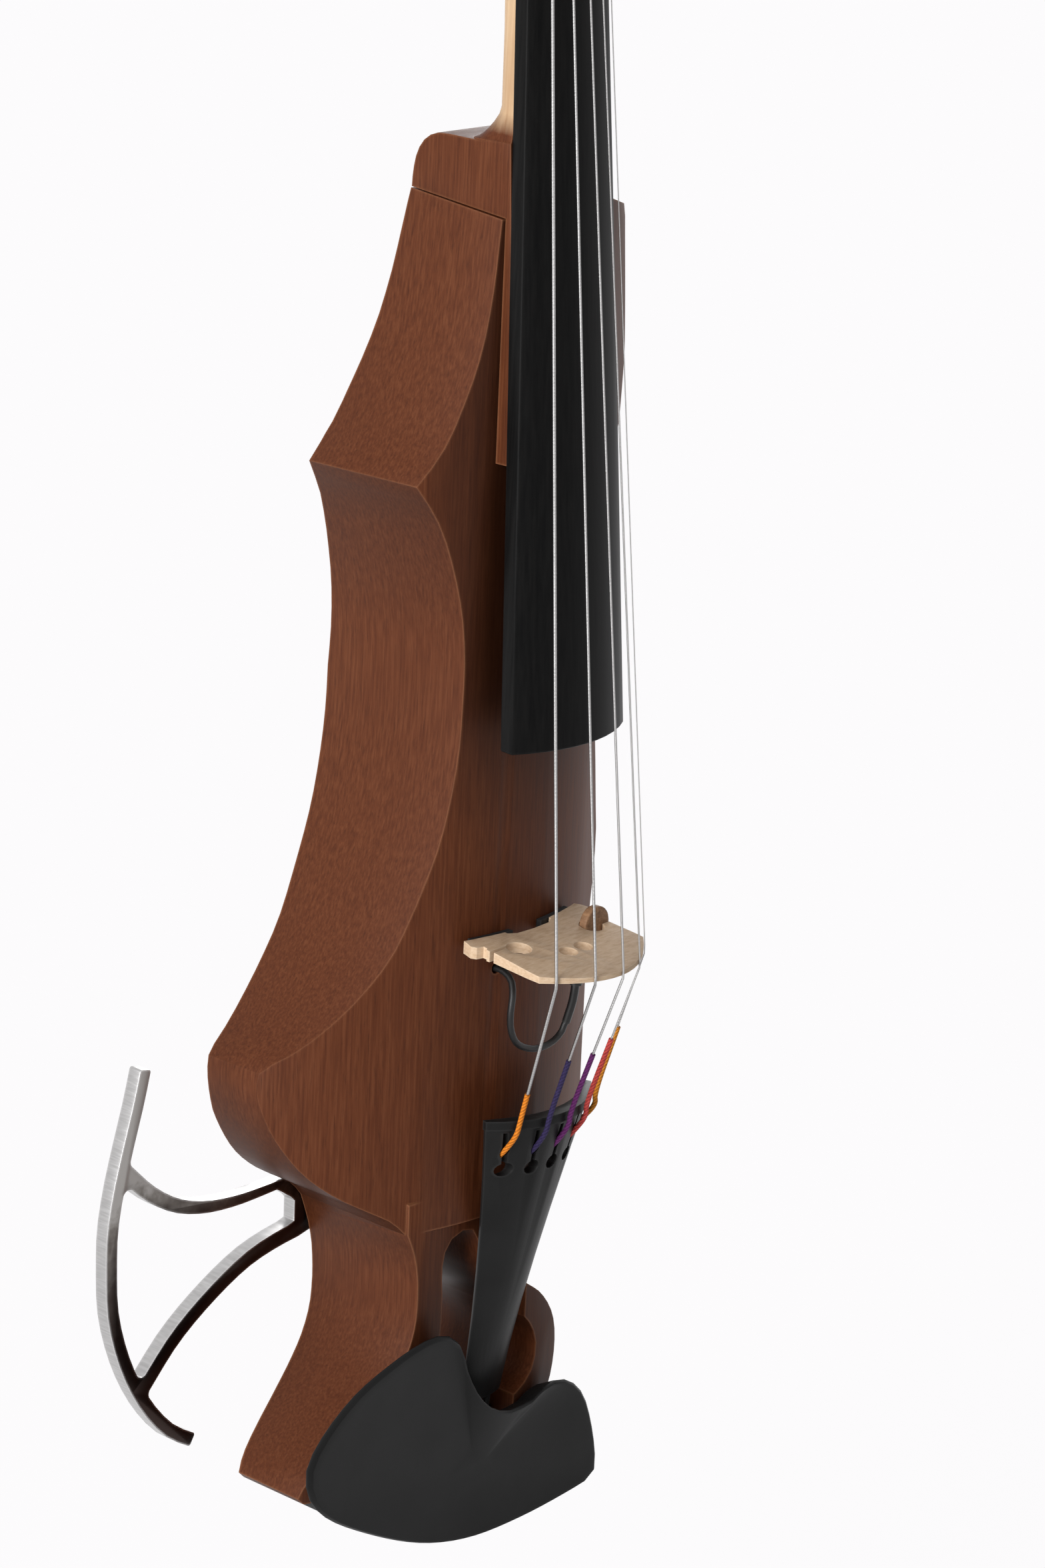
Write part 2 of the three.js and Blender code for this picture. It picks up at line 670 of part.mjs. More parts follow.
function neckShaft() {
  const start = heelRoot + heelLength / 3;
  const end = pegboxStart + overrun;
  const flared = [0, 0.05, 0.15, 0.3, 0.5, 0.75, 1].map((t) => heelTop + heelFlare * t);
  const flareEnd = heelTop + heelFlare;
  const plain = [0.16, 0.3, 0.5, 0.7, 0.85, 1].map((t) => flareEnd + (end - flareEnd) * t);
  return loft([start, ...flared, ...plain].map(neckRing));
}

// The heel's edge, seen from the side, in shares of its reach to the board and of its length.
const heelReach = -(boardUnder(heelTop) + gap) - heelRise;
const heelShares = [
  [0, 0], [0.011, 0.3], [0.05, 0.62], [0.123, 0.84], [0.234, 0.97], [0.379, 0.99], [0.557, 0.98],
  [0.78, 0.98], [0.98, 1],
];

// The heel and the platform under the board.
function heelSolid() {
  const edge = heelShares.map(([y, z]) => [-heelRise - y * heelReach, heelRoot + z * heelLength]);
  const corner = smooth(edge, 16);
  const top = corner[corner.length - 1][1];
  const front = [1, 0.75, 0.5, 0.25, 0].map((t) => platformEnd + (top - platformEnd) * t);
  const seat = -bodyDepth * 0.87;
  const lower = [[seat, platformEnd], [seat, jointAt(seat) + gap]];
  const side = [...corner, ...front.map((z) => [boardUnder(z) + gap, z]), ...lower];
  const slab = prism(side, alongX, -topHalf, topHalf);
  const low = platformEnd - overrun;
  const outer = -bodyDepth - overrun;
  const below = [[outer, low], [outer, jointAt(outer) + gap], [0, jointAt(0) + gap], [0, low]];
  const joint = prism(below, alongX, -topHalf * 2, topHalf * 2);
  return slab.subtract(bellyArch(gap, low, top).intersect(joint));
}

const pegboxFront = (z) => {
  const share = (z - pegboxStart) / pegboxLength;
  return boardUnder(scaleLength) - pegboxStep + pegboxLean * share ** 1.4;
};
const pegboxHalf = (z) => (pegboxWide + (pegboxNarrow - pegboxWide) * ((z - pegboxStart) / pegboxLength)) / 2;
const pegboxEnd = pegboxStart + pegboxLength;
const scrollCentre = [pegboxFront(pegboxEnd) + scrollForward, pegboxEnd + scrollRise];

function pegboxSolid() {
  const stations = [0, 0.2, 0.4, 0.6, 0.8, 1, 1.12].map((t) => pegboxStart + pegboxLength * t);
  const rings = stations.map((z) => {
    const front = pegboxFront(z);
    const half = pegboxHalf(z);
    const back = front + pegboxDeep * (1 - 0.12 * boardShare(z));
    return [
      v3(-half, front, z),
      v3(half, front, z),
      v3(half, back - pegboxRound, z),
      v3(half * 0.6, back, z),
      v3(-half * 0.6, back, z),
      v3(-half, back - pegboxRound, z),
    ];
  });
  return loft(rings);
}

function pegboxHollow() {
  const stations = [0.04, 0.3, 0.6, 0.94].map((t) => pegboxStart + pegboxLength * t);
  const rings = stations.map((z) => {
    const half = pegboxHalf(z) - pegboxWall;
    const front = pegboxFront(z);
    const back = front + pegboxDeep - pegboxFloor;
    return [
      v3(-half, front - overrun * 2, z),
      v3(half, front - overrun * 2, z),
      v3(half, back, z),
      v3(-half, back, z),
    ];
  });
  return loft(rings);
}

// One sweep of the volute: a flat ring whose outer radius falls and whose width grows with its turn.
function voluteSweep(from, to) {
  const whole = scrollTurns * 2 * Math.PI;
  const steps = Math.ceil((to - from) / (Math.PI / 8));
  const rings = Array.from({ length: steps + 1 }, (_, i) => {
    const turn = from + ((to - from) * i) / steps;
    const share = turn / whole;
    const outer = scrollRadius + (scrollEye - scrollRadius) * share ** 0.8;
    const half = pegboxNarrow / 3 + (scrollWide / 2 - pegboxNarrow / 3) * share ** 1.1;
    const inner = scrollEye / 3;
    const at = (r, x) => v3(x, scrollCentre[0] - r * Math.sin(turn), scrollCentre[1] - r * Math.cos(turn));
    return [at(inner, -half), at(outer, -half), at(outer, half), at(inner, half)];
  });
  return loft(rings);
}

function scrollSolid() {
  const whole = scrollTurns * 2 * Math.PI;
  const part = whole / 3;
  const lap = 0.02;
  const sweeps = [0, 1, 2].map((i) => voluteSweep(Math.max(0, i * part - lap), (i + 1) * part));
  const half = scrollWide / 2;
  const eye = rod(v3(-half, ...scrollCentre), v3(half, ...scrollCentre), scrollEye, 18);
  return join([...sweeps, eye]);
}

const pegStations = [0.14, 0.31, 0.48, 0.65, 0.82].map((t) => pegboxStart + pegboxLength * t);
const pegOrder = [1, 3, 4, 2, 0];
const pegY = (z) => pegboxFront(z) + pegReach;

function neckSolid() {
  const wood = join([neckShaft(), heelSolid(), pegboxSolid(), scrollSolid()]);
  const pegHoles = pegStations.map((z) =>
    rod(v3(-pegboxWide, pegY(z), z), v3(pegboxWide, pegY(z), z), pegShaft / 2 + gap, 14),
  );
  const seat = [boardTop(scaleLength) - overrun, boardUnder(scaleLength) + gap];
  const nutSeat = block(-pegboxWide, pegboxWide, ...seat, scaleLength - gap, pegboxStart + gap);
  return cut(wood, pegboxHollow(), nutSeat, ...pegHoles);
}

// Fingerboard and nut

function boardRing(z) {
  const half = boardHalf(z);
  const top = Array.from({ length: 11 }, (_, i) => half * ((i - 5) / 5));
  const crown = top.map((x) => v3(x, boardTop(z) + boardSag(x), z));
  return [...crown, v3(half - boardUndercut, boardUnder(z), z), v3(-half + boardUndercut, boardUnder(z), z)];
}

function fingerboardSolid() {
  const stations = [0, 0.25, 0.5, 0.75, 1].map((t) => boardEnd + (scaleLength - gap - boardEnd) * t);
  return loft(stations.map(boardRing));
}

function nutSolid() {
  const rise = (z) =>
    Array.from({ length: 9 }, (_, i) => {
      const x = boardHalf(scaleLength) * ((i - 4) / 4);
      return v3(x, boardTop(scaleLength) + boardSag(x) - nutRise, z);
    });
  const ring = (z) => [
    ...rise(z),
    v3(boardHalf(scaleLength), boardUnder(scaleLength), z),
    v3(-boardHalf(scaleLength), boardUnder(scaleLength), z),
  ];
  return loft([ring(scaleLength), ring(pegboxStart)]);
}

// Pegs

function pegSolid(i) {
  const z = pegStations[i];
  const side = i % 2 ? 1 : -1;
  const out = pegboxHalf(z);
  const collar = out + pegStand;
  const waist = collar + pegCollarLength;
  const head = waist + pegNeckLength;
  const shaft = turned(
    [
      [0, -out - pegTail],
      [pegShaft / 2 - pegTaper, -out - pegTail],
      [pegShaft / 2, out],
      [pegShaft / 2, collar],
      [pegCollar / 2, collar + pegRound],
      [pegCollar / 2, waist],
      [pegShaft / 2 - pegRound, waist + pegRound],
      [pegShaft / 2 - pegRound, head],
      [0, head],
    ],
    v3(0, pegY(z), z),
    v3(side, 0, 0),
    14,
  );
  const thumb = new THREE.SphereGeometry(1, 12, 8);
  const reach = waist + pegNeckLength / 2 + pegThumbTall / 2;
  thumb.scale(pegThumbTall / 2, pegThumbThick / 2, pegThumbWide / 2);
  thumb.translate(side * reach, pegY(z), z);
  const tip = reach + pegThumbTall / 2;
  const tipEnds = [tip - pegTipRadius, tip + pegTipLength].map((x) => v3(side * x, pegY(z), z));
  const knob = rod(...tipEnds, pegTipRadius, 8);
  return join([shaft, solid(thumb), knob]);
}

// Strings and their silk

const crownRest = (x, size, z) => v3(x, stringY(x) - size / 2 - stringRest, z);
const tailHeight = (z) => {
  const share = (-z - tailpieceTop) / (tailpieceTip - tailpieceTop);
  return -(tailpieceHeightTop + (tailpieceHeightTip - tailpieceHeightTop) * share);
};
const tailHalf = (z) => {
  const share = Math.max(0, Math.min(1, (-z - tailpieceTop) / (tailpieceTip - tailpieceTop)));
  return (tailpieceNarrow + (tailpieceWide - tailpieceNarrow) * (1 - share) ** 1.6) / 2;
};
const tailArchAt = (z) => {
  const share = (-z - tailpieceTop) / (tailpieceTip - tailpieceTop);
  return tailpieceTipArch + (tailpieceArch - tailpieceTipArch) * (1 - share);
};
const tailTopAt = (x, z) => tailHeight(z) + tailArchAt(z) * Math.abs(x / tailHalf(z)) ** 2.2;
const slotX = (i, z) => {
  const share = (-z - slotLine) / (keyholeLine - slotLine);
  return stringX(i, tailSpacing) + share * stringX(i, keySpacing - tailSpacing);
};

function fretPoint(i) {
  const x = stringX(i, tailSpacing);
  const share = Math.abs(x / tailHalf(-tailpieceTop));
  const slope = (2.2 * tailArchAt(-tailpieceTop) * share ** 1.2) / tailHalf(-tailpieceTop);
  const lift = (silkSize / 2 + gap) * Math.hypot(1, slope);
  return v3(x, tailTopAt(x, -tailpieceTop) - fretRise - lift, -tailpieceTop + fretFront);
}

const silkStart = (i) => {
  const rest = crownRest(stringX(i, bridgeSpacing), stringSizes[i], -bridgeThinTop - 2 * crownBack);
  const fret = fretPoint(i);
  return fret.clone().lerp(rest, (fret.z + silkStarts[i]) / (fret.z - rest.z));
};

function stringRoute(i) {
  const size = stringSizes[i];
  const x = stringX(i, bridgeSpacing);
  const nx = stringX(i, nutSpacing);
  const ny = boardTop(scaleLength) + boardSag(nx) - nutRise - size / 2 - stringRest;
  const order = pegOrder[i];
  const z = pegStations[order];
  const side = order % 2 ? 1 : -1;
  const radius = pegShaft / 2 + gap + size / 2;
  const pitch = size + wrapRoom;
  const startX = Math.max(-1, Math.min(1, nx / nutSpacing)) * wrapShift - (side * pitch * wrapTurns) / 2;
  const turns = Array.from({ length: wrapTurns * 8 + 1 }, (_, k) => {
    const turn = Math.PI * 1.5 + (k * Math.PI) / 4;
    const advance = startX + (side * pitch * k) / 8;
    return v3(advance, pegY(z) + radius * Math.sin(turn), z + radius * Math.cos(turn));
  });
  const leave = v3(turns[0].x, turns[0].y, z - radius);
  return [
    ...turns.reverse(),
    leave,
    v3(nx, ny, pegboxStart + nutRoom),
    v3(nx, ny, scaleLength - nutRoom),
    crownRest(x, size, 0),
    crownRest(x, size, -bridgeThinTop - 2 * crownBack),
    silkStart(i),
  ];
}

function stringSolid(i) {
  return tube(stringRoute(i), stringSizes[i] / 2, 6);
}

// Where the silk leaves the tailpiece edge and turns down into its slot.
function silkEnd(i) {
  const fret = fretPoint(i);
  const pastFret = -tailpieceTop - fretBack - silkSize / 2;
  const over = v3(slotX(i, pastFret), fret.y, pastFret);
  const slot = v3(slotX(i, -slotLine), tailTopAt(slotX(i, -slotLine), -slotLine), -slotLine);
  const down = -slotLine - silkSize * 1.6;
  const end = v3(slotX(i, down), slot.y + silkSize * 1.6, down);
  return [over, slot, end];
}

// The silk runs on from the metal, over the tailpiece edge and down.
function silkSolid(i) {
  const fret = fretPoint(i);
  const start = silkStart(i);
  const along = fret.clone().sub(start).normalize();
  return tube([start.addScaledVector(along, gap), fret, ...silkEnd(i)], silkSize / 2, 8);
}

// The bed that one silk lies in, cut through the tailpiece.
function silkBed(i) {
  const [over, slot, end] = silkEnd(i);
  const beyond = end.clone().add(end.clone().sub(slot).setLength(silkSize * 2));
  return tube([over, slot, end, beyond], silkSize / 2 + gap, 10);
}

// Bridge and its pickup

const bridgeFoot = bellyAt(bridgeFootHalf * 0.72) - padThick - 2 * gap;
// The right half from the arch to the foot, in shares of the foot half width and of the height.
const bridgeFootShares = [
  [0.3, 0.09], [0.42, 0.05], [0.43, -0.15], [1, -0.15], [1.1, 0.02], [1.12, 0.06], [1.08, 0.1],
  [0.98, 0.115], [0.98, 0.15], [1.02, 0.17], [1.02, 0.2], [1, 0.235],
];

const kidneyShares = [[-0.62, 0.285], [0.72, 0.32]];

function bridgeSolid() {
  const at = ([x, rise]) => [x * bridgeFootHalf, bridgeFoot - rise * bridgeHeight];
  const rightSide = [...bridgeFootShares.map(at), [bridgeTopHalf, bridgeFoot - 0.6 * bridgeHeight]];
  const crown = Array.from({ length: 15 }, (_, i) => bridgeTopHalf * (1 - i / 7)).map((x) => [x, stringY(x)]);
  const leftSide = rightSide.map(([x, y]) => [-x, y]).reverse();
  const archTop = at([0, 0.1]);
  const reach = bridgeThick * 2;
  const plate = prism([...rightSide, ...crown, ...leftSide, archTop], alongZ, -reach, reach);
  const kidneys = kidneyShares.map((share) => {
    const [x, y] = at(share);
    return rod(v3(x, y, -reach), v3(x, y, reach), kidneyRadius, 18);
  });
  const [slitX, slitY] = at([-0.62, 0.2]);
  const slit = block(-bridgeFootHalf - overrun, slitX, slitY - slitWidth, slitY, -reach, reach);
  const seatHalf = discThick / 2 + gap;
  const seatSpan = [discSeat.y - seatHalf, discSeat.y + seatHalf];
  const seat = block(discSeat.x - discRadius, bridgeFootHalf + overrun, ...seatSpan, -reach, reach);
  const belly = bellyArch(padThick + 2 * gap, -overrun * 2, overrun * 2);
  return cut(plate, ...kidneys, slit, seat, heartTool(at([0, 0.54])[1]), belly).intersect(bridgeTaper());
}

// The bridge is thick at its feet, thin at its crown, and leans towards the tail.
function bridgeTaper() {
  const foot = bridgeFoot + overrun;
  const crown = -stringHeight - overrun;
  const side = [
    [foot, bridgeLean - bridgeThick / 2],
    [bridgeFoot, bridgeLean - bridgeThick / 2],
    [-stringHeight, -crownBack - bridgeThinTop],
    [crown, -crownBack - bridgeThinTop],
    [crown, -crownBack],
    [-stringHeight, -crownBack],
    [bridgeFoot, bridgeLean + bridgeThick / 2],
    [foot, bridgeLean + bridgeThick / 2],
  ];
  return prism(side, alongX, -bridgeTopHalf - overrun, bridgeTopHalf + overrun);
}

function heartTool(y) {
  const apart = heartRadius * 1.15;
  const lobes = [-1, 1].map((side) =>
    rod(v3(side * apart, y, -overrun), v3(side * apart, y, overrun), heartRadius, 14),
  );
  return join(lobes);
}

const discSeat = v3(bridgeFootHalf * 0.8, bridgeFoot - 0.3 * bridgeHeight, bridgeLean * 1.25);

function discSolid() {
  const a = discSeat.clone().add(v3(0, -discThick / 2, 0));
  const b = discSeat.clone().add(v3(0, discThick / 2, 0));
  return rod(a, b, discRadius, 28);
}

// A sensor pad under one foot, curved to the belly.
function padSolid(side) {
  const inner = bridgeFootGap / 2 - padThick * 2;
  const outer = bridgeFootHalf - padThick;
  const xs = [0, 0.25, 0.5, 0.75, 1].map((t) => side * (inner + (outer - inner) * t));
  const low = xs.map((x) => [x, bellyAt(x, gap)]);
  const high = xs.map((x) => [x, bellyAt(x, gap + padThick)]).reverse();
  const half = bridgeThick / 2 - gap;
  return prism([...low, ...high], alongZ, bridgeLean - half, bridgeLean + half);
}

// The pickup lead, from its sleeve round a loop and down into the belly.
// Its points are shares of the bridge height: across, out from the belly and along.
const leadShares = [
  [0.291, 0.246, -0.755], [0.261, 0.24, -0.818], [0.176, 0.234, -0.873], [0.036, 0.228, -0.894],
  [-0.109, 0.222, -0.867], [-0.27, 0.222, -0.776], [-0.35, 0.228, -0.642], [-0.37, 0.234, -0.497],
  [-0.34, 0.222, -0.364], [-0.291, 0.161, -0.267], [-0.276, 0.07, -0.218],
];
const sleeveShares = [
  [0.37, 0.3, -0.218], [0.342, 0.306, -0.333], [0.324, 0.294, -0.54], [0.297, 0.255, -0.736],
];
const aboveBelly = ([x, rise, z]) => [x * bridgeHeight, -bodyDepth - rise * bridgeHeight, z * bridgeHeight];

function leadSolid() {
  const down = [0.148, 0.43, 0.72, 1].map((t) => cableTop.clone().lerp(cableEnd, t).toArray());
  const inside = [
    [cableTop.x, -pocketDepth * 0.724, -electronicsTop * 1.375],
    [cableTop.x, -pocketDepth * 0.698, -electronicsTop * 1.7],
  ];
  return tube(easedRoute([...leadShares.map(aboveBelly), ...down, ...inside], 44), leadSize / 2, 8);
}

function sleeveSolid() {
  const eased = easedRoute(sleeveShares.map(aboveBelly), 8);
  const body = tube(eased, sleeveSize / 2, 8);
  const plug = tube(eased.slice(0, 4), sleeveSize * 0.78, 8);
  return body.add(plug);
}

// Tailpiece, its gut, saddle and end pin

function tailpieceSolid() {
  const long = tailpieceTip - tailpieceTop;
  const stations = [0, 0.08, 0.2, 0.36, 0.52, 0.68, 0.84, 1].map((t) => -tailpieceTop - long * t);
  const across = Array.from({ length: 13 }, (_, i) => (i - 6) / 6);
  const thick = (s) => tailpieceEdge + (tailpieceThick - tailpieceEdge) * (1 - s ** 4);
  const ring = (z, at, rise, grow) => {
    const half = tailHalf(at);
    const top = across.map((s) => v3(s * half * grow, tailTopAt(s * half, at) - rise, z));
    const inner = half * grow - tailpieceEdge / 2;
    const under = across.map((s) => v3(s * inner, tailTopAt(s * half, at) + thick(s), z));
    return [...top, ...under.reverse()];
  };
  const shell = loft(stations.map((z) => ring(z, z, 0, 1)));
  const fretEnds = [-tailpieceTop + fretFront, -tailpieceTop - fretBack];
  const fret = loft(fretEnds.map((z) => ring(z, -tailpieceTop, fretRise, 1.02)));
  const holes = [0, 1, 2, 3, 4].flatMap((i) => {
    const x = slotX(i, -keyholeLine);
    const low = tailTopAt(x, -keyholeLine) + tailpieceThick * 4;
    const high = tailTopAt(x, -keyholeLine) - tailpieceThick * 3;
    const top = -tailpieceTop - fretBack * 2;
    const half = slotWidth / 2;
    const end = slotX(i, top);
    const slot = [[x - half, -keyholeLine], [x + half, -keyholeLine], [end + half, top], [end - half, top]];
    return [
      rod(v3(x, low, -keyholeLine), v3(x, high, -keyholeLine), keyholeSize / 2, 14),
      prism(slot, alongY, high, low),
      silkBed(i),
    ];
  });
  const guts = [-1, 1].map((side) =>
    rod(gutSeat(side, gutHoldEnd + gap), gutSeat(side, -tailpieceTip - overrun), tailgutSize / 2 + gap, 10),
  );
  return cut(shell.add(fret), ...holes, ...guts);
}

const pinLevel = -tailChannelLevel + pinDrop;
const gutDepth = tailTopAt(gutHalf, -tailpieceTip) + tailpieceHeightTip + tailpieceThick / 2;
const gutSeat = (side, z) => v3(side * gutHalf, tailHeight(z) + gutDepth, z);
const gutHoldEnd = -tailpieceTip + tailpieceThick * 1.6;
const gutPoints = (side) => [
  gutSeat(side, gutHoldEnd).toArray(),
  gutSeat(side, -tailpieceTip - gap * 2).toArray(),
  [side * gutHalf, -tailChannelLevel - saddleRise, -tailEnd + saddleRise * 0.74],
  [side * gutHalf, -tailChannelLevel - saddleRise * 0.81, -tailEnd - gutOut * 0.55],
  [side * gutHalf, -tailChannelLevel - saddleRise * 0.26, -tailEnd - gutOut],
  [side * gutHalf * 1.2, pinLevel - saddleRise * 0.19, -tailEnd - gutOut],
];

// One loop of gut: down from the tailpiece on one side, round the end pin and up on the other.
function tailgutSolid() {
  const down = gutPoints(-1);
  const up = gutPoints(1).reverse();
  const round = arc(0, pinLevel, gutHalf * 1.2, Math.PI * 0.94, Math.PI * 0.06, 6);
  const under = round.map(([x, y]) => [x, y, -tailEnd - gutOut]);
  return tube([...down, ...under, ...up].map((p) => v3(...p)), tailgutSize / 2, 8);
}

function saddleSolid() {
  const level = -tailChannelLevel - gap;
  const high = -tailChannelLevel - saddleRise + tailgutSize / 2 + gap;
  const end = -tailEnd + gap / 2;
  const inner = -tailEnd + saddleLong;
  const side = [
    [level, inner],
    [level, end],
    [high + saddleRound, end],
    [high, -tailEnd + saddleRound * 1.8],
    [high, inner],
  ];
  return prism(side, alongX, -tailChannelHalf + gap, tailChannelHalf - gap);
}

// The end pin's profile, in shares of its radius.
const pinShares = [
  [0, -1.14], [0.49, -1.14], [0.53, 0.05], [0.49, 0.11], [0.49, 0.51], [0.97, 0.57], [1, 0.89],
  [0.73, 1.16], [0, 1.24],
];

function endPinSolid() {
  const profile = pinShares.map(([r, d]) => [r * pinRadius, d * pinRadius]);
  return turned(profile, v3(0, pinLevel, -tailEnd), v3(0, 0, -1), 24);
}

// Chin rest and its clamp

// The plate's edge, in shares of its half width and of its length.
const chinShares = [
  [-0.081, 0.018], [-0.01, 0.07], [0.053, 0.209], [0.14, 0.34], [0.248, 0.433], [0.36, 0.479],
  [0.46, 0.485], [0.56, 0.476], [0.643, 0.441], [0.766, 0.456], [0.86, 0.51], [0.926, 0.583],
  [0.985, 0.71], [1.026, 0.853], [1.033, 0.95], [0.98, 0.982], [0.864, 0.994], [0.49, 1.005],
  [0.12, 0.982], [-0.203, 0.906], [-0.591, 0.739], [-0.89, 0.564], [-0.993, 0.444], [-1.007, 0.327],
  [-0.92, 0.223], [-0.71, 0.098], [-0.462, 0.027], [-0.291, -0.002], [-0.17, -0.005], [-0.081, 0.018],
];
const chinPoint = ([x, z]) => [x * chinHalf - chinLeft, -chinTopLine - z * chinLong];
const chinMiddleShare = [0.17, 0.71];
// The dish from the rim inwards: shares of the outline's size and of the depth.
const dishShares = [[0.975, 0], [0.93, 0.1], [0.8, 0.34], [0.62, 0.63], [0.42, 0.85], [0.2, 0.97]];

function chinRestSolid() {
  const edge = smooth(chinShares.map(chinPoint), 64).slice(0, -1);
  const [mx, mz] = chinPoint(chinMiddleShare);
  const ring = (share, y) => edge.map(([x, z]) => v3(mx + (x - mx) * share, y, mz + (z - mz) * share));
  const top = -chinLevel;
  const dish = dishShares.map(([share, depth]) => ring(share, top + depth * chinDish));
  return loft([...dish.reverse(), ring(1, top + chinThick * 0.2), ring(0.9, top + chinThick)]);
}

const clampLeft = -clampCentre - clampWide / 2;
const clampRight = -clampCentre + clampWide / 2;
const barrelX = [-0.5, 0.5].map((side) => -clampCentre + side * barrelSpacing);
const clampFace = -tailEnd - gap - corkThick;
const clampTopY = -chinLevel + chinThick + gap;
const frontBarEnd = -clampMiddle - clampSplit / 2;
const rearBarStart = -clampMiddle + clampSplit / 2;

// The fixed half of the clamp: a plate under the chin rest with a bar down the end of the body.
function frontBracketSolid() {
  const z = clampFace - gap;
  const side = [
    [clampTopY, -tailEnd + clampLip],
    [clampTopY + clampBar * 0.6, -tailEnd + clampLip],
    [clampTopY + clampBar * 0.6, z],
    [frontBarEnd, z],
    [frontBarEnd, z - clampBar],
    [clampTopY, z - clampBar],
  ];
  return prism(side, alongX, clampLeft, clampRight);
}

// The moving half: a foot that hooks under the back of the tail block.
function rearBracketSolid() {
  const z = clampFace - gap;
  const backEdge = backAtTail() + gap + corkThick + gap;
  const bar = block(clampLeft, clampRight, rearBarStart, backEdge + clampBar, z - clampBar, z);
  const top = -tailEnd + clampLip;
  const hook = block(clampLeft + footInset, clampRight, backEdge, backEdge + clampBar, z - clampBar, top);
  return join([bar, hook]);
}

function backAtTail() {
  return -0.88 * tailRise;
}

function barrelSolid(x) {
  const z = clampFace - gap - clampBar - gap - barrelSize / 2;
  const neck = barrelLength / 8;
  const thin = barrelSize / 4;
  const profile = [
    [0, 0], [thin, 0], [thin, neck], [barrelSize / 2, neck], [barrelSize / 2, barrelLength - neck],
    [thin, barrelLength - neck], [thin, barrelLength], [0, barrelLength],
  ];
  const middle = (frontBarEnd + rearBarStart) / 2;
  return turned(profile, v3(x, middle - barrelLength / 2, z), v3(0, 1, 0), 14);
}

function corkSolid(from, to) {
  return block(clampLeft + corkThick, clampRight - corkThick, from, to, clampFace, -tailEnd - gap);
}

function rearCorkSolid() {
  const y = backAtTail() + gap;
  const left = clampLeft + footInset + corkThick;
  const right = clampRight - corkThick;
  return block(left, right, y, y + corkThick, -tailEnd + corkThick, -tailEnd + clampLip - gap);
}

// Side bracket

// Shares of the bracket's reach from the centre line and of the tail end.
const rimShares = [
  [0.8765, 0.178], [0.8975, 0.235], [0.9325, 0.315], [0.9625, 0.39], [0.9805, 0.46], [0.9825, 0.53],
  [0.9765, 0.61], [0.9495, 0.685], [0.9045, 0.76], [0.8425, 0.83], [0.7645, 0.89], [0.69, 0.924],
];
const upperArmShares = [
  [0.935, 0.36], [0.85, 0.415], [0.76, 0.455], [0.66, 0.4785], [0.55, 0.489], [0.45, 0.4905],
  [0.37, 0.49],
];
const lowerArmShares = [
  [0.87, 0.785], [0.76, 0.71], [0.635, 0.654], [0.505, 0.613], [0.4, 0.597], [0.3, 0.589], [0.235, 0.575],
];
const bracketPoint = ([x, z]) => [-x * bracketReach, -z * tailEnd];

// The web between the arms: its hidden edge, and the open round end of the gap between the arms.
const webShares = [[0.364, 0.596], [0.235, 0.59], [0.21, 0.565], [0.205, 0.52], [0.22, 0.48], [0.36, 0.485]];
const webEndShares = [
  [0.412, 0.4943], [0.388, 0.5044], [0.3669, 0.5148], [0.3458, 0.5253], [0.3266, 0.5414],
  [0.3166, 0.5582], [0.3209, 0.5684], [0.3372, 0.5734], [0.364, 0.5785],
];
const webMiddleShare = [0.28, 0.537];

// A flat strip along a line, whose width runs from one size to another.
function strip(points, widths, steps) {
  const line = smooth(points, steps);
  const side = line.map((p, i) => {
    const a = line[Math.max(0, i - 1)];
    const b = line[Math.min(line.length - 1, i + 1)];
    const half = (widths[0] + ((widths[1] - widths[0]) * i) / steps) / 2;
    const length = Math.hypot(b[0] - a[0], b[1] - a[1]);
    return [(-(b[1] - a[1]) / length) * half, ((b[0] - a[0]) / length) * half];
  });
  const left = line.map((p, i) => [p[0] + side[i][0], p[1] + side[i][1]]);
  const right = line.map((p, i) => [p[0] - side[i][0], p[1] - side[i][1]]);
  return [...left, ...right.reverse()];
}

const armWidths = (from, to, grow) => [from + 2 * grow, to + 2 * grow];
const armStrip = (shares, widths) => strip(shares.map(bracketPoint), widths, 16);
const upperArm = (grow) => armStrip(upperArmShares, armWidths(bracketArm, bracketArmEnd, grow));
const lowerArm = (grow) => armStrip(lowerArmShares, armWidths(bracketArm, bracketArm, grow));

function bracketTongue(grow) {
  const half = tongueHalf + grow;
  const left = -tongueLeft - grow;
  const right = -tongueRight + grow;
  const middle = -tongueMiddle;
  return [
    [left, middle - half * 2.7],
    [right - half * 1.4, middle - half],
    [right - half / 2, middle - half * 0.87],
    [right, middle - half / 2],
    [right, middle + half / 2],
    [right - half / 2, middle + half * 0.87],
    [right - half, middle + half],
    [left, middle + half],
  ];
}

function bracketWeb(grow) {
  const [cx, cz] = bracketPoint(webMiddleShare);
  const end = smooth(webEndShares.map(bracketPoint), 18);
  const hidden = webShares.map(bracketPoint);
  return [...end, ...hidden].map(([x, z]) => [x + Math.sign(x - cx) * grow, z + Math.sign(z - cz) * grow]);
}

// Outlines in X and Z joined flat, with inner and outer corners rounded, and extruded along Y.
function plate(outlines, inner, outer, from, to) {
  const flat = wasm.CrossSection.union(outlines.map((line) => new wasm.CrossSection([line], "NonZero")));
  const filled = flat.offset(inner, "Round", 2, 40).offset(-inner - outer, "Round", 2, 40);
  const rounded = filled.offset(outer, "Round", 2, 40).simplify(gap / 10);
  return rounded.extrude(to - from).translate(0, 0, -to).transform(alongY.elements);
}

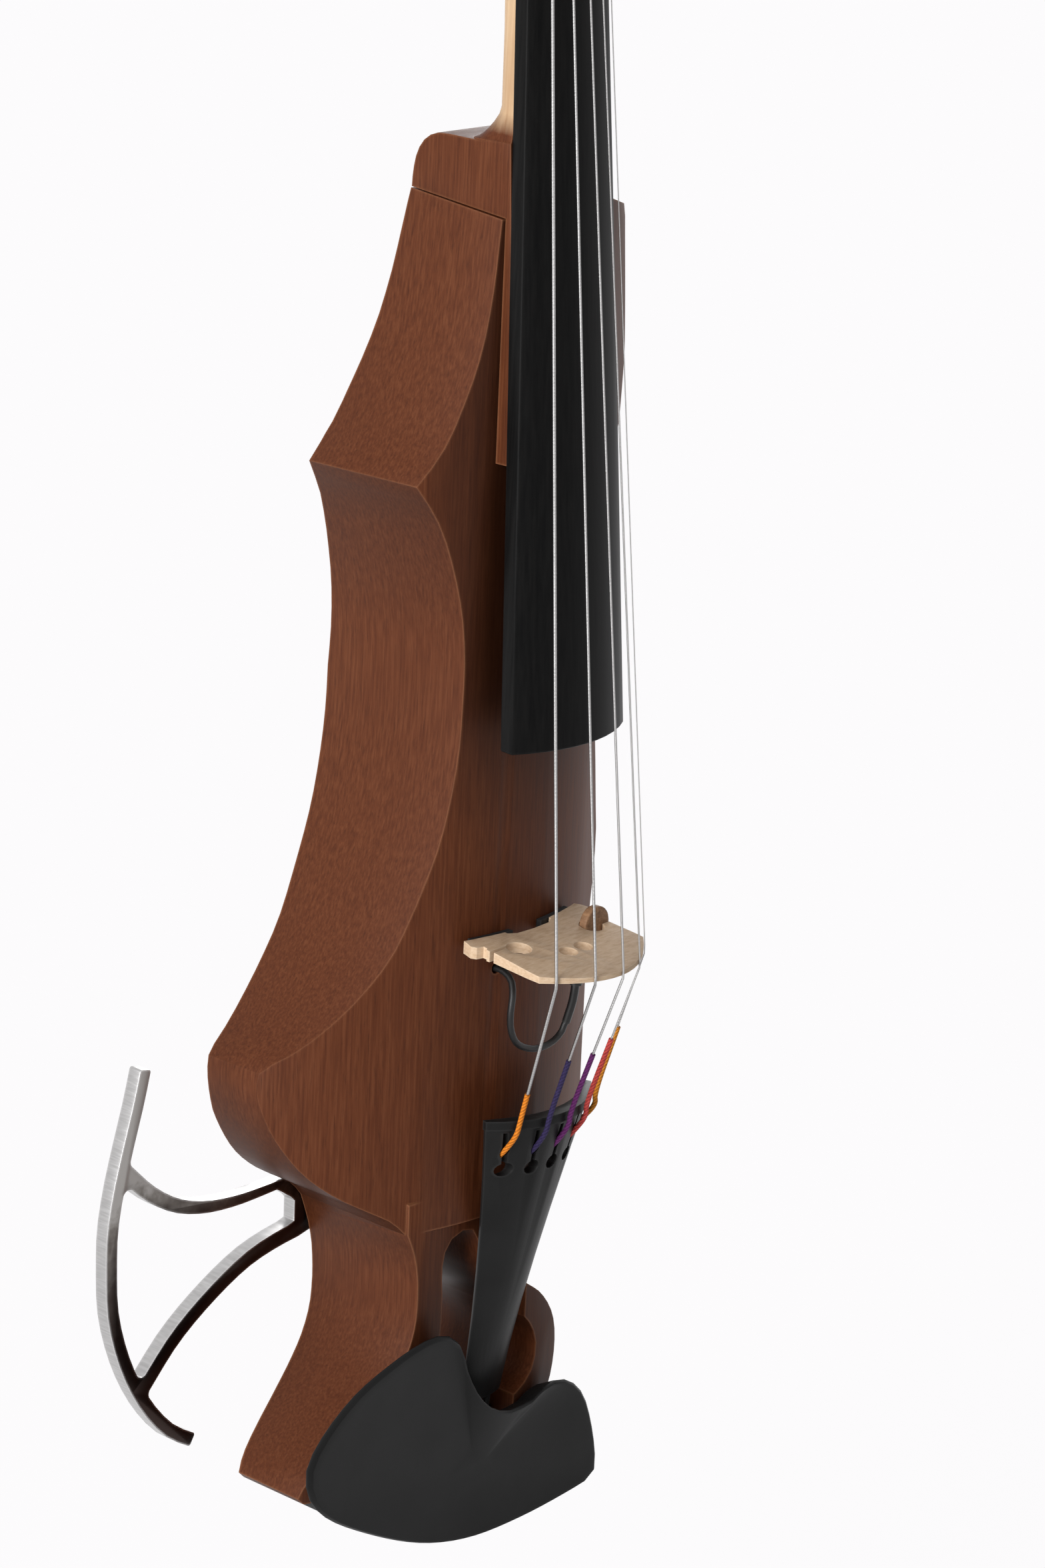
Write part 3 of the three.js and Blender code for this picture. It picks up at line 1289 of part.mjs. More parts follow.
function bracketSolid() {
  const front = -bracketLevel;
  const back = front + bracketThick;
  const rim = strip(rimShares.map(bracketPoint), [bracketRim, bracketRim], 24);
  const branches = [upperArm(0), lowerArm(0)];
  const arms = join(branches.map((arm) => plate([rim, arm], bracketFillet, bracketCorner, front, back)));
  const web = prism(bracketWeb(0), alongY, front, back);
  const tongue = prism(bracketTongue(0), alongY, front, back);
  const drill = ([x, z]) => rod(v3(x, front - overrun, z), v3(x, overrun, z), bracketScrew / 2 + gap, 14);
  const holes = bracketScrews.map(drill);
  return cut(join([arms, web, tongue]), ...holes);
}

function screwSolid(x, z, top, shank, head, length) {
  const crown = length + screwHeadThick;
  const profile = [
    [0, 0], [shank / 2, 0], [shank / 2, length], [head / 2, length], [head / 2, crown - screwBevel],
    [head / 2 - screwBevel, crown], [0, crown],
  ];
  return turned(profile, v3(x, top - length, z), v3(0, 1, 0), 14);
}

// Electronics

function coverSolid() {
  const x = coverHalfX - gap;
  const z = coverHalfZ - gap;
  const level = -recessDepth + gap;
  const em = electronicsMiddle;
  const span = [electronicsCentre - z, electronicsCentre + z];
  const plate = block(em - x, em + x, level, level + coverThick, ...span);
  const drill = ([px, pz]) => rod(v3(px, -overrun, pz), v3(px, overrun, pz), screwShank / 2 + gap, 12);
  const holes = coverScrews.map(coverScrewAt).map(drill);
  return cut(plate, ...holes);
}

function coverScrewSolid(corner) {
  const [x, z] = coverScrewAt(corner);
  return screwSolid(x, z, -recessDepth + coverThick + 2 * gap, screwShank, screwHead, screwLength);
}

const circuitLevel = -pocketDepth + circuitStandoff;

// Parts on the circuit board: left, right, height, low and high, in shares of the board.
const partShares = [
  [0.04, 0.14, 0.18, 0.2, 0.75],
  [0.22, 0.42, 0.12, 0.3, 0.8],
  [0.5, 0.6, 0.3, 0.2, 0.45],
  [0.5, 0.62, 0.1, 0.6, 0.85],
  [0.7, 0.82, 0.24, 0.2, 0.5],
];

function circuitSolid() {
  const left = electronicsMiddle - electronicsWide / 2 + circuitInset;
  const right = electronicsMiddle + electronicsWide / 2 - circuitInset * 3;
  const low = -electronicsBottom + circuitInset / 4;
  const high = -electronicsTop - circuitInset;
  const along = (share) => left + (right - left) * share;
  const up = (share) => low + (high - low) * share;
  const plate = block(left, right, circuitLevel, circuitLevel + circuitThick, low, high);
  const rise = (tall) => circuitLevel + circuitThick + tall * pocketDepth;
  const parts = partShares.map(([x0, x1, tall, z0, z1]) =>
    block(along(x0), along(x1), circuitLevel + gap, rise(tall), up(z0), up(z1)),
  );
  const footSpan = [-pocketDepth + gap, circuitLevel + gap, up(0.04), up(0.16)];
  const foot = (x) => block(along(x), along(x + 0.05), ...footSpan);
  const feet = [0.05, 0.9].map(foot);
  return join([plate, ...parts, ...feet]);
}

const batteryFloor = -pocketDepth + gap;

function batterySolid() {
  const half = batteryWide / 2;
  const top = batteryBottom + batteryLong;
  const base = batteryBottom + snapRoom;
  const middle = batteryFloor + batteryDeep / 2;
  const can = block(-half, half, batteryFloor, batteryFloor + batteryDeep, base, top);
  const studs = [-0.5, 0.5].map((side) => {
    const x = side * studSpacing;
    return rod(v3(x, middle, base + gap), v3(x, middle, batteryBottom + snapThick - gap), studSize / 2, 12);
  });
  return join([can, ...studs]);
}

function snapSolid() {
  const half = batteryWide / 2 - gap * 3;
  const rim = batteryDeep / 8;
  const top = batteryBottom + snapThick - 2 * gap;
  return block(-half, half, batteryFloor + rim, batteryFloor + batteryDeep - rim, batteryBottom - gap, top);
}

const doorHalf = batteryWide / 2 + batteryWall + recessLip - gap;

// The battery door turns on a pin at its upper edge.
function doorSolid() {
  const low = batteryBottom - batteryWall - recessLip + gap;
  const level = -recessDepth + gap;
  const barrelHalf = v3(batteryWide / 2 + batteryWall - gap, 0, 0);
  const boreHalf = v3(batteryWide, 0, 0);
  const plate = block(-doorHalf, doorHalf, level, level + coverThick, low, hingeLine.z);
  const alongHinge = (half) => [hingeLine.clone().sub(half), hingeLine.clone().add(half)];
  const barrel = rod(...alongHinge(barrelHalf), hingeBarrel / 2, 16);
  const bore = rod(...alongHinge(boreHalf), hingePinSize / 2 + gap, 12);
  const face = level + coverThick;
  const grip = block(-overrun, overrun, face - gap, face + gap * 2, low + plateMargin, low + plateMargin * 2);
  return cut(join([plate, barrel, grip]), bore);
}

function doorPinSolid() {
  const reach = v3(doorHalf + pinGrip, 0, 0);
  return rod(hingeLine.clone().sub(reach), hingeLine.clone().add(reach), hingePinSize / 2, 12);
}

function controlPlateSolid() {
  const low = -controlBottom + plateMargin;
  const high = -controlTop - plateMargin;
  const deep = [potHeight - potSize * 0.56, potHeight + potSize * 0.56];
  const seat = controlSide + gap;
  const plate = block(seat, seat + plateThick, ...deep, low, high);
  const ends = (z) => [controlSide, controlSide + overrun].map((x) => v3(x, potHeight, z));
  const hole = (z, size) => rod(...ends(z), size / 2 + gap, 18);
  return cut(plate, ...knobStations.map((z) => hole(z, potThread)), hole(jackStation, jackBarrel));
}

const plateFace = controlSide + gap + plateThick + gap;

function potSolid(z) {
  const face = potSeat - gap;
  const body = potSize / 2 - gap;
  const thread = plateFace + plateThick - face;
  const shaft = plateFace + knobLength * 0.75 - face;
  const profile = [
    [0, -potLength], [body, -potLength], [body, 0], [potThread / 2, 0], [potThread / 2, thread],
    [shaftSize / 2, thread], [shaftSize / 2, shaft], [0, shaft],
  ];
  return turned(profile, v3(face, potHeight, z), v3(1, 0, 0), 18);
}

function knobSolid(z) {
  const seat = plateFace + plateThick + gap;
  const depth = plateFace + knobLength * 0.75 + gap - seat;
  const r = knobSize / 2;
  const bore = shaftSize / 2 + gap;
  const body = turned(
    [
      [0, depth], [bore, depth], [bore, 0], [r, 0],
      [r, knobLength * 0.88], [r * 0.85, knobLength], [0, knobLength],
    ],
    v3(seat, potHeight, z),
    v3(1, 0, 0),
    20,
  );
  const top = seat + knobLength;
  const markSpan = [potHeight - r * 0.8, potHeight - r * 0.25];
  const line = block(top - gap, top + gap * 1.5, ...markSpan, z - r * 0.08, z + r * 0.08);
  return body.add(line);
}

function jackSolid() {
  const r = jackBarrel / 2;
  const waist = r * 0.66;
  const front = plateFace + plateThick * 2 - controlSide;
  return turned(
    [
      [0, -jackLength], [waist, -jackLength], [waist, -jackLength * 0.88],
      [r, -jackLength * 0.84], [r, front],
      [jackBore / 2, front], [jackBore / 2, -jackLength * 0.8], [0, -jackLength * 0.92],
    ],
    v3(controlSide, potHeight, jackStation),
    v3(1, 0, 0),
    20,
  );
}

function jackNutSolid() {
  const inner = jackBarrel / 2 + gap;
  const outer = jackBarrel * 0.78;
  const high = plateThick * 1.6;
  return turned(
    [[inner, 0], [outer, 0], [outer, high * 0.7], [outer - plateThick / 2, high], [inner, high], [inner, 0]],
    v3(plateFace, potHeight, jackStation),
    v3(1, 0, 0),
    18,
  );
}

const channelLevel = -pocketDepth * 0.54;
const wireRest = circuitLevel + circuitThick + gap + wireSize / 2;

function batteryLead() {
  return [
    [0, channelLevel, batteryBottom - wireSize],
    [0, channelLevel, batteryBottom * 0.5],
    [0, channelLevel, -electronicsTop * 0.6],
    [0, channelLevel, -electronicsTop - wireSize],
    [-wireSize, wireRest, -electronicsTop - wireSize * 3.4],
    [-wireSize * 2, wireRest, -electronicsTop - wireSize * 4.6],
  ];
}

function jackLead() {
  const end = controlSide - jackLength - gap * 2 - wireSize / 2;
  const turn = controlSide - jackLength - leadChannel / 2;
  return [
    [end, potHeight, jackStation],
    [turn, potHeight, jackStation + wireSize],
    [turn, potHeight, -electronicsBottom + wireSize],
    [turn - wireSize * 3, wireRest, -electronicsBottom * 0.8],
    [turn - wireSize * 6, wireRest, -electronicsBottom * 0.75],
    [electronicsMiddle + wireSize * 5.4, wireRest, -electronicsBottom * 0.75],
  ];
}

function wireSolid(points, steps) {
  return tube(easedRoute(points, steps), wireSize / 2, 6);
}

// Materials

const finish = (color, roughness, metalness) =>
  new THREE.MeshStandardMaterial({ color, roughness, metalness });
const stainedMaple = finish(0x6b3a24, 0.42, 0);
const neckMaple = finish(0xc9a57a, 0.5, 0);
const ebony = finish(0x1b1a1a, 0.5, 0);
const blackPlastic = finish(0x222223, 0.55, 0);
const bridgeMaple = finish(0xcdaa84, 0.6, 0);
const sensorRubber = finish(0x151515, 0.8, 0);
const stringSteel = finish(0xb9bbbd, 0.3, 1);
const brushedSteel = finish(0x9a9a98, 0.35, 1);
const cork = finish(0x9a7650, 0.95, 0);
const circuitGreen = finish(0x1e5a38, 0.6, 0);
const batteryShell = finish(0x30353b, 0.45, 0.3);
const gutBlack = finish(0x1a1a1a, 0.6, 0);
const leadBlack = finish(0x141414, 0.6, 0);
const chrome = finish(0xc4c6c8, 0.2, 1);
const silkColours = [0xe8862a, 0x2a2440, 0x6b2a66, 0xd0454a, 0xdb8a2c];

// Assembly

const violin = new THREE.Group();
const piece = (name, body, material) => {
  const mesh = new THREE.Mesh(geometryOf(body), material);
  mesh.name = name;
  violin.add(mesh);
};

piece("body", bodySolid(), stainedMaple);
piece("neck", neckSolid(), neckMaple);
piece("fingerboard", fingerboardSolid(), ebony);
piece("nut", nutSolid(), ebony);
const stringNames = ["c", "g", "d", "a", "e"];
stringNames.forEach((letter, i) => {
  piece(`string_${letter}`, stringSolid(i), stringSteel);
  piece(`silk_${letter}`, silkSolid(i), finish(silkColours[i], 0.7, 0));
  piece(`peg_${letter}`, pegSolid(pegOrder[i]), ebony);
});
piece("bridge", bridgeSolid(), bridgeMaple);
piece("bridge_pickup", discSolid(), bridgeMaple);
piece("sensor_pad_bass", padSolid(-1), sensorRubber);
piece("sensor_pad_treble", padSolid(1), sensorRubber);
piece("pickup_sleeve", sleeveSolid(), leadBlack);
piece("pickup_lead", leadSolid(), leadBlack);
piece("tailpiece", tailpieceSolid(), blackPlastic);
piece("tailgut", tailgutSolid(), gutBlack);
piece("saddle", saddleSolid(), ebony);
piece("end_pin", endPinSolid(), ebony);
piece("chin_rest", chinRestSolid(), blackPlastic);
piece("clamp_front", frontBracketSolid(), blackPlastic);
piece("clamp_foot", rearBracketSolid(), blackPlastic);
barrelX.forEach((x, i) => piece(["clamp_barrel_bass", "clamp_barrel_treble"][i], barrelSolid(x), chrome));
piece("clamp_cork_end", corkSolid(clampTopY + corkInset, rearBarStart - corkInset), cork);
piece("clamp_cork_back", rearCorkSolid(), cork);
piece("side_bracket", bracketSolid(), brushedSteel);
bracketScrews.forEach(([x, z], i) => {
  const seat = -bracketLevel + bracketThick + gap;
  const screw = screwSolid(x, z, seat, bracketScrew, bracketScrew * 1.9, bracketScrewLength);
  piece(["bracket_screw_outer", "bracket_screw_inner"][i], screw, chrome);
});
piece("electronics_cover", coverSolid(), blackPlastic);
coverScrews.forEach((corner, i) => piece(`cover_screw_${i + 1}`, coverScrewSolid(corner), chrome));
piece("preamp_board", circuitSolid(), circuitGreen);
piece("battery", batterySolid(), batteryShell);
piece("battery_snap", snapSolid(), blackPlastic);
piece("battery_lead", wireSolid(batteryLead(), 18), leadBlack);
piece("battery_door", doorSolid(), blackPlastic);
piece("battery_door_pin", doorPinSolid(), chrome);
piece("control_plate", controlPlateSolid(), blackPlastic);
knobStations.forEach((z, i) => {
  piece(["volume_pot", "tone_pot"][i], potSolid(z), chrome);
  piece(["volume_knob", "tone_knob"][i], knobSolid(z), blackPlastic);
});
piece("output_jack", jackSolid(), chrome);
piece("jack_nut", jackNutSolid(), chrome);
piece("jack_lead", wireSolid(jackLead(), 16), leadBlack);

export default violin;
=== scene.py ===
import json
import math

import bmesh
import bpy
from mathutils import Matrix, Vector

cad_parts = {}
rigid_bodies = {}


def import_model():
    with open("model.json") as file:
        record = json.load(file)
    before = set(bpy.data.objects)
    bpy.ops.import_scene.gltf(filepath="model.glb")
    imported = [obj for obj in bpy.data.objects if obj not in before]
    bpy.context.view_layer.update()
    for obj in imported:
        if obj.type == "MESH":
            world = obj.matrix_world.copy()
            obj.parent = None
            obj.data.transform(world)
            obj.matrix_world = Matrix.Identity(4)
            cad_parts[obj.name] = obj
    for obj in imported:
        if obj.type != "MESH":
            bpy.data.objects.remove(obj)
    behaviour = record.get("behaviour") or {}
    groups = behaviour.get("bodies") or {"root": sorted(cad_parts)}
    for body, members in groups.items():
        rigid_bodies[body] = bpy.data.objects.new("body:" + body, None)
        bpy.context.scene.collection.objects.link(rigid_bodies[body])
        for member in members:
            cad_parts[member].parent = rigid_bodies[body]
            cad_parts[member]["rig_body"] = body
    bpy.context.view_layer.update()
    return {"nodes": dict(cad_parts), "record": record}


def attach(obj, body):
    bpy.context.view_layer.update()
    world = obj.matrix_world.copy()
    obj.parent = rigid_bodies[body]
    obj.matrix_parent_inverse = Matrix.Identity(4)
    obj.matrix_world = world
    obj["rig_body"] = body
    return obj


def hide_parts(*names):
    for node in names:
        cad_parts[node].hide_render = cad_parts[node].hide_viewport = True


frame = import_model()
NODES = frame["nodes"]
BODY_OF = {name: node["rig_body"] for name, node in NODES.items()}
SLOT_OF = {row["node"]: row["material_slot"] for row in frame["record"]["subparts"]}
MM = 0.001

# Camera

EYE = Vector((-0.799968, -0.725956, 0.373269))
SIGHT = Vector((0.72759, 0.61597, -0.30200))
RIGHTWARD = Vector((0.65567, -0.75387, 0.04205))
UPWARD = Vector((0.20177, 0.22861, 0.95238))
SENSOR = 36.0
FOCAL_PIXELS = 6361.0
IMAGE_WIDTH = 1568.0
NEAREST = 0.01
FARTHEST = 50.0


def make_camera():
    data = bpy.data.cameras.new("camera")
    data.sensor_fit = "HORIZONTAL"
    data.sensor_width = SENSOR
    data.lens = SENSOR * FOCAL_PIXELS / IMAGE_WIDTH
    data.clip_start = NEAREST
    data.clip_end = FARTHEST
    camera = bpy.data.objects.new("camera", data)
    bpy.context.scene.collection.objects.link(camera)
    turn = Matrix((RIGHTWARD, UPWARD, -SIGHT)).transposed().to_4x4()
    camera.matrix_world = Matrix.Translation(EYE) @ turn
    bpy.context.scene.camera = camera


make_camera()


# Material nodes

EDGE_REACH = 1.1 * MM
EDGE_SAMPLES = 6
# How far the rounded normal agrees with the flat one, away from an edge and on one
OFF_EDGE = 0.985
ON_EDGE = 0.88


class Tree:
    """A material's node tree, with short calls for the nodes used here."""

    def __init__(self, name):
        self.material = bpy.data.materials.new(name)
        self.material.use_nodes = True
        self.nodes = self.material.node_tree.nodes
        self.links = self.material.node_tree.links
        self.shader = self.nodes["Principled BSDF"]
        self.place = self.nodes.new("ShaderNodeTexCoord").outputs["Object"]

    def put(self, value, socket):
        """Links another node's output, or sets a number or a colour."""
        if isinstance(value, bpy.types.NodeSocket):
            self.links.new(value, socket)
        elif isinstance(value, tuple):
            socket.default_value = (*value, 1.0)
        else:
            socket.default_value = value

    def stretched(self, scale=(1, 1, 1), turn=(0, 0, 0)):
        """The place on the object, scaled and turned."""
        node = self.nodes.new("ShaderNodeMapping")
        node.inputs["Scale"].default_value = scale
        node.inputs["Rotation"].default_value = turn
        self.links.new(self.place, node.inputs["Vector"])
        return node.outputs["Vector"]

    def noise(self, cells, detail, rough):
        """Noise with so many cells to the metre in X, Y and Z."""
        node = self.nodes.new("ShaderNodeTexNoise")
        self.links.new(self.stretched(cells), node.inputs["Vector"])
        node.inputs["Scale"].default_value = 1.0
        node.inputs["Detail"].default_value = detail
        node.inputs["Roughness"].default_value = rough
        return node.outputs["Fac"]

    def bands(self, scale, distortion=0.0, turn=(0, 0, 0)):
        """Bands along Z, which the distortion makes uneven."""
        node = self.nodes.new("ShaderNodeTexWave")
        node.bands_direction = "Z"
        self.links.new(self.stretched(turn=turn), node.inputs["Vector"])
        node.inputs["Scale"].default_value = scale
        node.inputs["Distortion"].default_value = distortion
        node.inputs["Detail"].default_value = 2.0
        return node.outputs["Fac"]

    def cells(self, scale):
        """The distance to the nearest cell's own point, with so many cells to the metre."""
        node = self.nodes.new("ShaderNodeTexVoronoi")
        self.links.new(self.stretched(), node.inputs["Vector"])
        node.inputs["Scale"].default_value = scale
        return node.outputs["Distance"]

    def ramp(self, value, *stops):
        """Colours at their places from 0 to 1."""
        node = self.nodes.new("ShaderNodeValToRGB")
        self.links.new(value, node.inputs["Fac"])
        line = node.color_ramp
        while len(line.elements) < len(stops):
            line.elements.new(0.5)
        for element, (position, color) in zip(line.elements, stops):
            element.position = position
            element.color = (*color, 1.0)
        return node.outputs["Color"]

    def shade(self, value, result, span=(0.0, 1.0)):
        """Turns the span of a value into the span of a result, and stops at its ends."""
        node = self.nodes.new("ShaderNodeMapRange")
        self.links.new(value, node.inputs["Value"])
        node.inputs["From Min"].default_value, node.inputs["From Max"].default_value = span
        node.inputs["To Min"].default_value, node.inputs["To Max"].default_value = result
        return node.outputs["Result"]

    def math(self, kind, a, b):
        node = self.nodes.new("ShaderNodeMath")
        node.operation = kind
        self.put(a, node.inputs[0])
        self.put(b, node.inputs[1])
        return node.outputs["Value"]

    def blend(self, share, a, b):
        node = self.nodes.new("ShaderNodeMix")
        node.data_type = "RGBA"
        self.put(share, node.inputs["Factor"])
        self.put(a, node.inputs["A"])
        self.put(b, node.inputs["B"])
        return node.outputs["Result"]

    def axis(self, name):
        """The place on the object along one axis, in metres."""
        node = self.nodes.new("ShaderNodeSeparateXYZ")
        self.links.new(self.place, node.inputs["Vector"])
        return node.outputs[name]

    def facing(self, name):
        """The surface's own direction along one axis, from -1 to 1."""
        node = self.nodes.new("ShaderNodeTexCoord")
        parts = self.nodes.new("ShaderNodeSeparateXYZ")
        self.links.new(node.outputs["Normal"], parts.inputs["Vector"])
        return parts.outputs[name]

    def edges(self):
        """1 along the edges, where a rounded surface would turn away from the flat one, and 0 elsewhere."""
        rounded = self.nodes.new("ShaderNodeBevel")
        rounded.samples = EDGE_SAMPLES
        rounded.inputs["Radius"].default_value = EDGE_REACH
        flat = self.nodes.new("ShaderNodeNewGeometry")
        turn = self.nodes.new("ShaderNodeVectorMath")
        turn.operation = "DOT_PRODUCT"
        self.links.new(rounded.outputs["Normal"], turn.inputs[0])
        self.links.new(flat.outputs["Normal"], turn.inputs[1])
        return self.shade(turn.outputs["Value"], (1.0, 0.0), (ON_EDGE, OFF_EDGE))

    def worn_and_highlit(self, strength, tone, color):
        """The tone with its edges lighter towards a colour: partly rubbed wear, partly a painted highlight.
        """
        return self.blend(self.math("MULTIPLY", self.edges(), strength), tone, color)

    def bump(self, height, strength, depth=0.1 * MM):
        node = self.nodes.new("ShaderNodeBump")
        node.inputs["Strength"].default_value = strength
        node.inputs["Distance"].default_value = depth
        self.links.new(height, node.inputs["Height"])
        self.links.new(node.outputs["Normal"], self.shader.inputs["Normal"])

    def finish(self, color, roughness, metal=0.0, specular=0.5):
        self.put(color, self.shader.inputs["Base Color"])
        self.put(roughness, self.shader.inputs["Roughness"])
        self.shader.inputs["Metallic"].default_value = metal
        self.shader.inputs["Specular IOR Level"].default_value = specular
        return self.material


def grey(level):
    return (level,) * 3


def shaded(color, share):
    return tuple(part * share for part in color)


# Stained wood: its tones, and the cells to the metre of its fibres, pores and broad patches

STAIN_DARK = (0.070, 0.0185, 0.0065)
STAIN_MIDDLE = (0.099, 0.0280, 0.0100)
STAIN_LIGHT = (0.132, 0.0420, 0.0165)
STAIN_PORE = (0.030, 0.0085, 0.0035)
# Painted shade, for the front's ends and the faces turned downwards.
PAINTED_SHADE_DEEP = (0.016, 0.0050, 0.0022)
# Edge tone: partly rubbed wear, partly a painted highlight.
STAIN_WORN_AND_HIGHLIT = (0.240, 0.1000, 0.0480)
FIBRE_CELLS = (1500, 1500, 60)
PORE_CELLS = (2300, 2300, 150)
PATCH_CELLS = (16, 16, 4)

# Painted shade: the front darkens upwards under the board, where its shadow falls, and downwards
# towards the tail, between these heights, which drift a little with the patches.
BOARD_SHADE = (28 * MM, 66 * MM)
TAIL_SHADE = (-105 * MM, -72 * MM)
SHADE_DRIFT = 6 * MM

WOOD_ROUGHNESS = (0.42, 0.52)
WOOD_SPECULAR = 0.12


def stain_tone(t):
    """Fine upright fibres under a brown stain, with painted shade towards the front's ends and on the
    underside, and edges lightened partly by wear and partly by a painted highlight.
    """
    fibre = t.noise(FIBRE_CELLS, 4.0, 0.55)
    pores = t.noise(PORE_CELLS, 3.0, 0.6)
    patch = t.noise(PATCH_CELLS, 2.0, 0.5)
    tone = t.ramp(fibre, (0.30, STAIN_DARK), (0.50, STAIN_MIDDLE), (0.72, STAIN_LIGHT))
    tone = t.blend(t.shade(patch, (0.0, 0.35), (0.35, 0.7)), tone, STAIN_DARK)
    tone = t.blend(t.shade(pores, (0.0, 0.55), (0.56, 0.74)), tone, STAIN_PORE)
    # Painted shade on the front: darker under the board and towards the tail.
    front = t.shade(t.facing("Y"), (1.0, 0.0), (-0.97, -0.80))
    height = t.math("ADD", t.axis("Z"), t.shade(patch, (-SHADE_DRIFT, SHADE_DRIFT), (0.3, 0.7)))
    under_board = t.shade(height, (0.0, 0.80), BOARD_SHADE)
    tail = t.shade(height, (0.60, 0.0), TAIL_SHADE)
    tone = t.blend(t.math("MULTIPLY", front, t.math("ADD", under_board, tail)), tone, PAINTED_SHADE_DEEP)
    # Painted shade on faces that turn downwards.
    painted_underside_shade = t.shade(t.facing("Z"), (0.55, 0.0), (-0.55, -0.05))
    tone = t.blend(painted_underside_shade, tone, PAINTED_SHADE_DEEP)
    # Edges lighter: partly wear, partly a painted highlight.
    tone = t.worn_and_highlit(t.shade(patch, (0.35, 0.95), (0.35, 0.6)), tone, STAIN_WORN_AND_HIGHLIT)
    return tone, fibre, pores


def stained_wood():
    t = Tree("stained_wood")
    tone, fibre, pores = stain_tone(t)
    t.bump(pores, 0.05)
    return t.finish(tone, t.shade(fibre, WOOD_ROUGHNESS), specular=WOOD_SPECULAR)


# The neck is bare maple above the height at which the heel's stain runs out.

MAPLE_DARK = (0.44, 0.27, 0.15)
MAPLE_MIDDLE = (0.56, 0.38, 0.23)
MAPLE_LIGHT = (0.66, 0.48, 0.31)
GRAIN_CELLS = (520, 520, 14)
FLAME_CELLS = (30, 30, 190)
STAIN_END = (211 * MM, 216 * MM)
STAIN_DRIFT = 0.8 * MM


def neck_wood():
    t = Tree("neck_wood")
    stain, _, _ = stain_tone(t)
    grain = t.noise(GRAIN_CELLS, 5.0, 0.6)
    flame = t.noise(FLAME_CELLS, 2.0, 0.5)
    maple = t.ramp(grain, (0.30, MAPLE_DARK), (0.55, MAPLE_MIDDLE), (0.80, MAPLE_LIGHT))
    maple = t.blend(t.shade(flame, (0.0, 0.25), (0.4, 0.7)), maple, MAPLE_DARK)
    height = t.math("ADD", t.axis("Z"), t.shade(grain, (-STAIN_DRIFT, STAIN_DRIFT)))
    bare = t.shade(height, (0.0, 1.0), STAIN_END)
    t.bump(grain, 0.04)
    return t.finish(t.blend(bare, stain, maple), t.shade(grain, WOOD_ROUGHNESS), specular=WOOD_SPECULAR)


def bridge_wood():
    t = Tree("bridge_wood")
    fleck = t.noise((330, 900, 1500), 3.0, 0.55)
    lines = t.noise((120, 2400, 2400), 2.0, 0.5)
    tone = t.ramp(fleck, (0.30, (0.52, 0.355, 0.225)), (0.5, (0.60, 0.43, 0.285)), (0.75, (0.66, 0.50, 0.35)))
    tone = t.blend(t.shade(lines, (0.0, 0.30), (0.56, 0.72)), tone, (0.42, 0.26, 0.15))
    # Edges lighter: partly wear, partly a painted highlight.
    tone = t.worn_and_highlit(0.4, tone, (0.68, 0.54, 0.39))
    t.bump(fleck, 0.03)
    return t.finish(tone, 0.62, specular=0.22)


def pickup_wood():
    t = Tree("pickup_wood")
    fleck = t.noise((900, 300, 1200), 4.0, 0.6)
    tone = t.ramp(fleck, (0.3, (0.16, 0.08, 0.04)), (0.7, (0.34, 0.19, 0.10)))
    t.bump(fleck, 0.05)
    return t.finish(tone, 0.55, specular=0.3)


def black_wood():
    t = Tree("black_wood")
    fine = t.noise((900, 900, 40), 4.0, 0.6)
    tone = t.ramp(fine, (0.35, (0.0035, 0.0035, 0.0036)), (0.75, (0.0085, 0.0082, 0.0080)))
    # Edges lighter: partly wear, partly a painted highlight.
    tone = t.worn_and_highlit(0.5, tone, (0.035, 0.034, 0.033))
    t.bump(fine, 0.04)
    return t.finish(tone, t.shade(fine, (0.34, 0.46)), specular=0.06)


def matte_black(name, level, roughness, grain=2600.0, strength=0.05, specular=0.35):
    """A black of one level, mottled, lighter along its edges with wear and a painted highlight, with a fine
    grain in the surface.
    """
    t = Tree(name)
    speck = t.noise((grain,) * 3, 2.0, 0.5)
    mottle = t.noise((60,) * 3, 3.0, 0.5)
    tone = t.ramp(mottle, (0.3, grey(level * 0.8)), (0.7, grey(level * 1.25)))
    # Edges lighter: partly wear, partly a painted highlight.
    tone = t.worn_and_highlit(0.6, tone, grey(level * 3.5))
    t.bump(speck, strength)
    return t.finish(tone, t.shade(speck, (roughness - 0.05, roughness + 0.06)), specular=specular)


def polished_metal():
    t = Tree("polished_metal")
    color = (0.66, 0.66, 0.67)
    brush = t.noise((900,) * 3, 3.0, 0.5)
    tone = t.ramp(brush, (0.30, shaded(color, 0.90)), (0.70, color))
    t.bump(brush, 0.02, 0.05 * MM)
    return t.finish(tone, t.shade(brush, (0.13, 0.21)), metal=1.0)


# Painted shade on the bracket's front face: it lightens upwards between these heights.
BRACKET_SHADE = (-105 * MM, -55 * MM)
BRACKET_DRIFT = 12 * MM


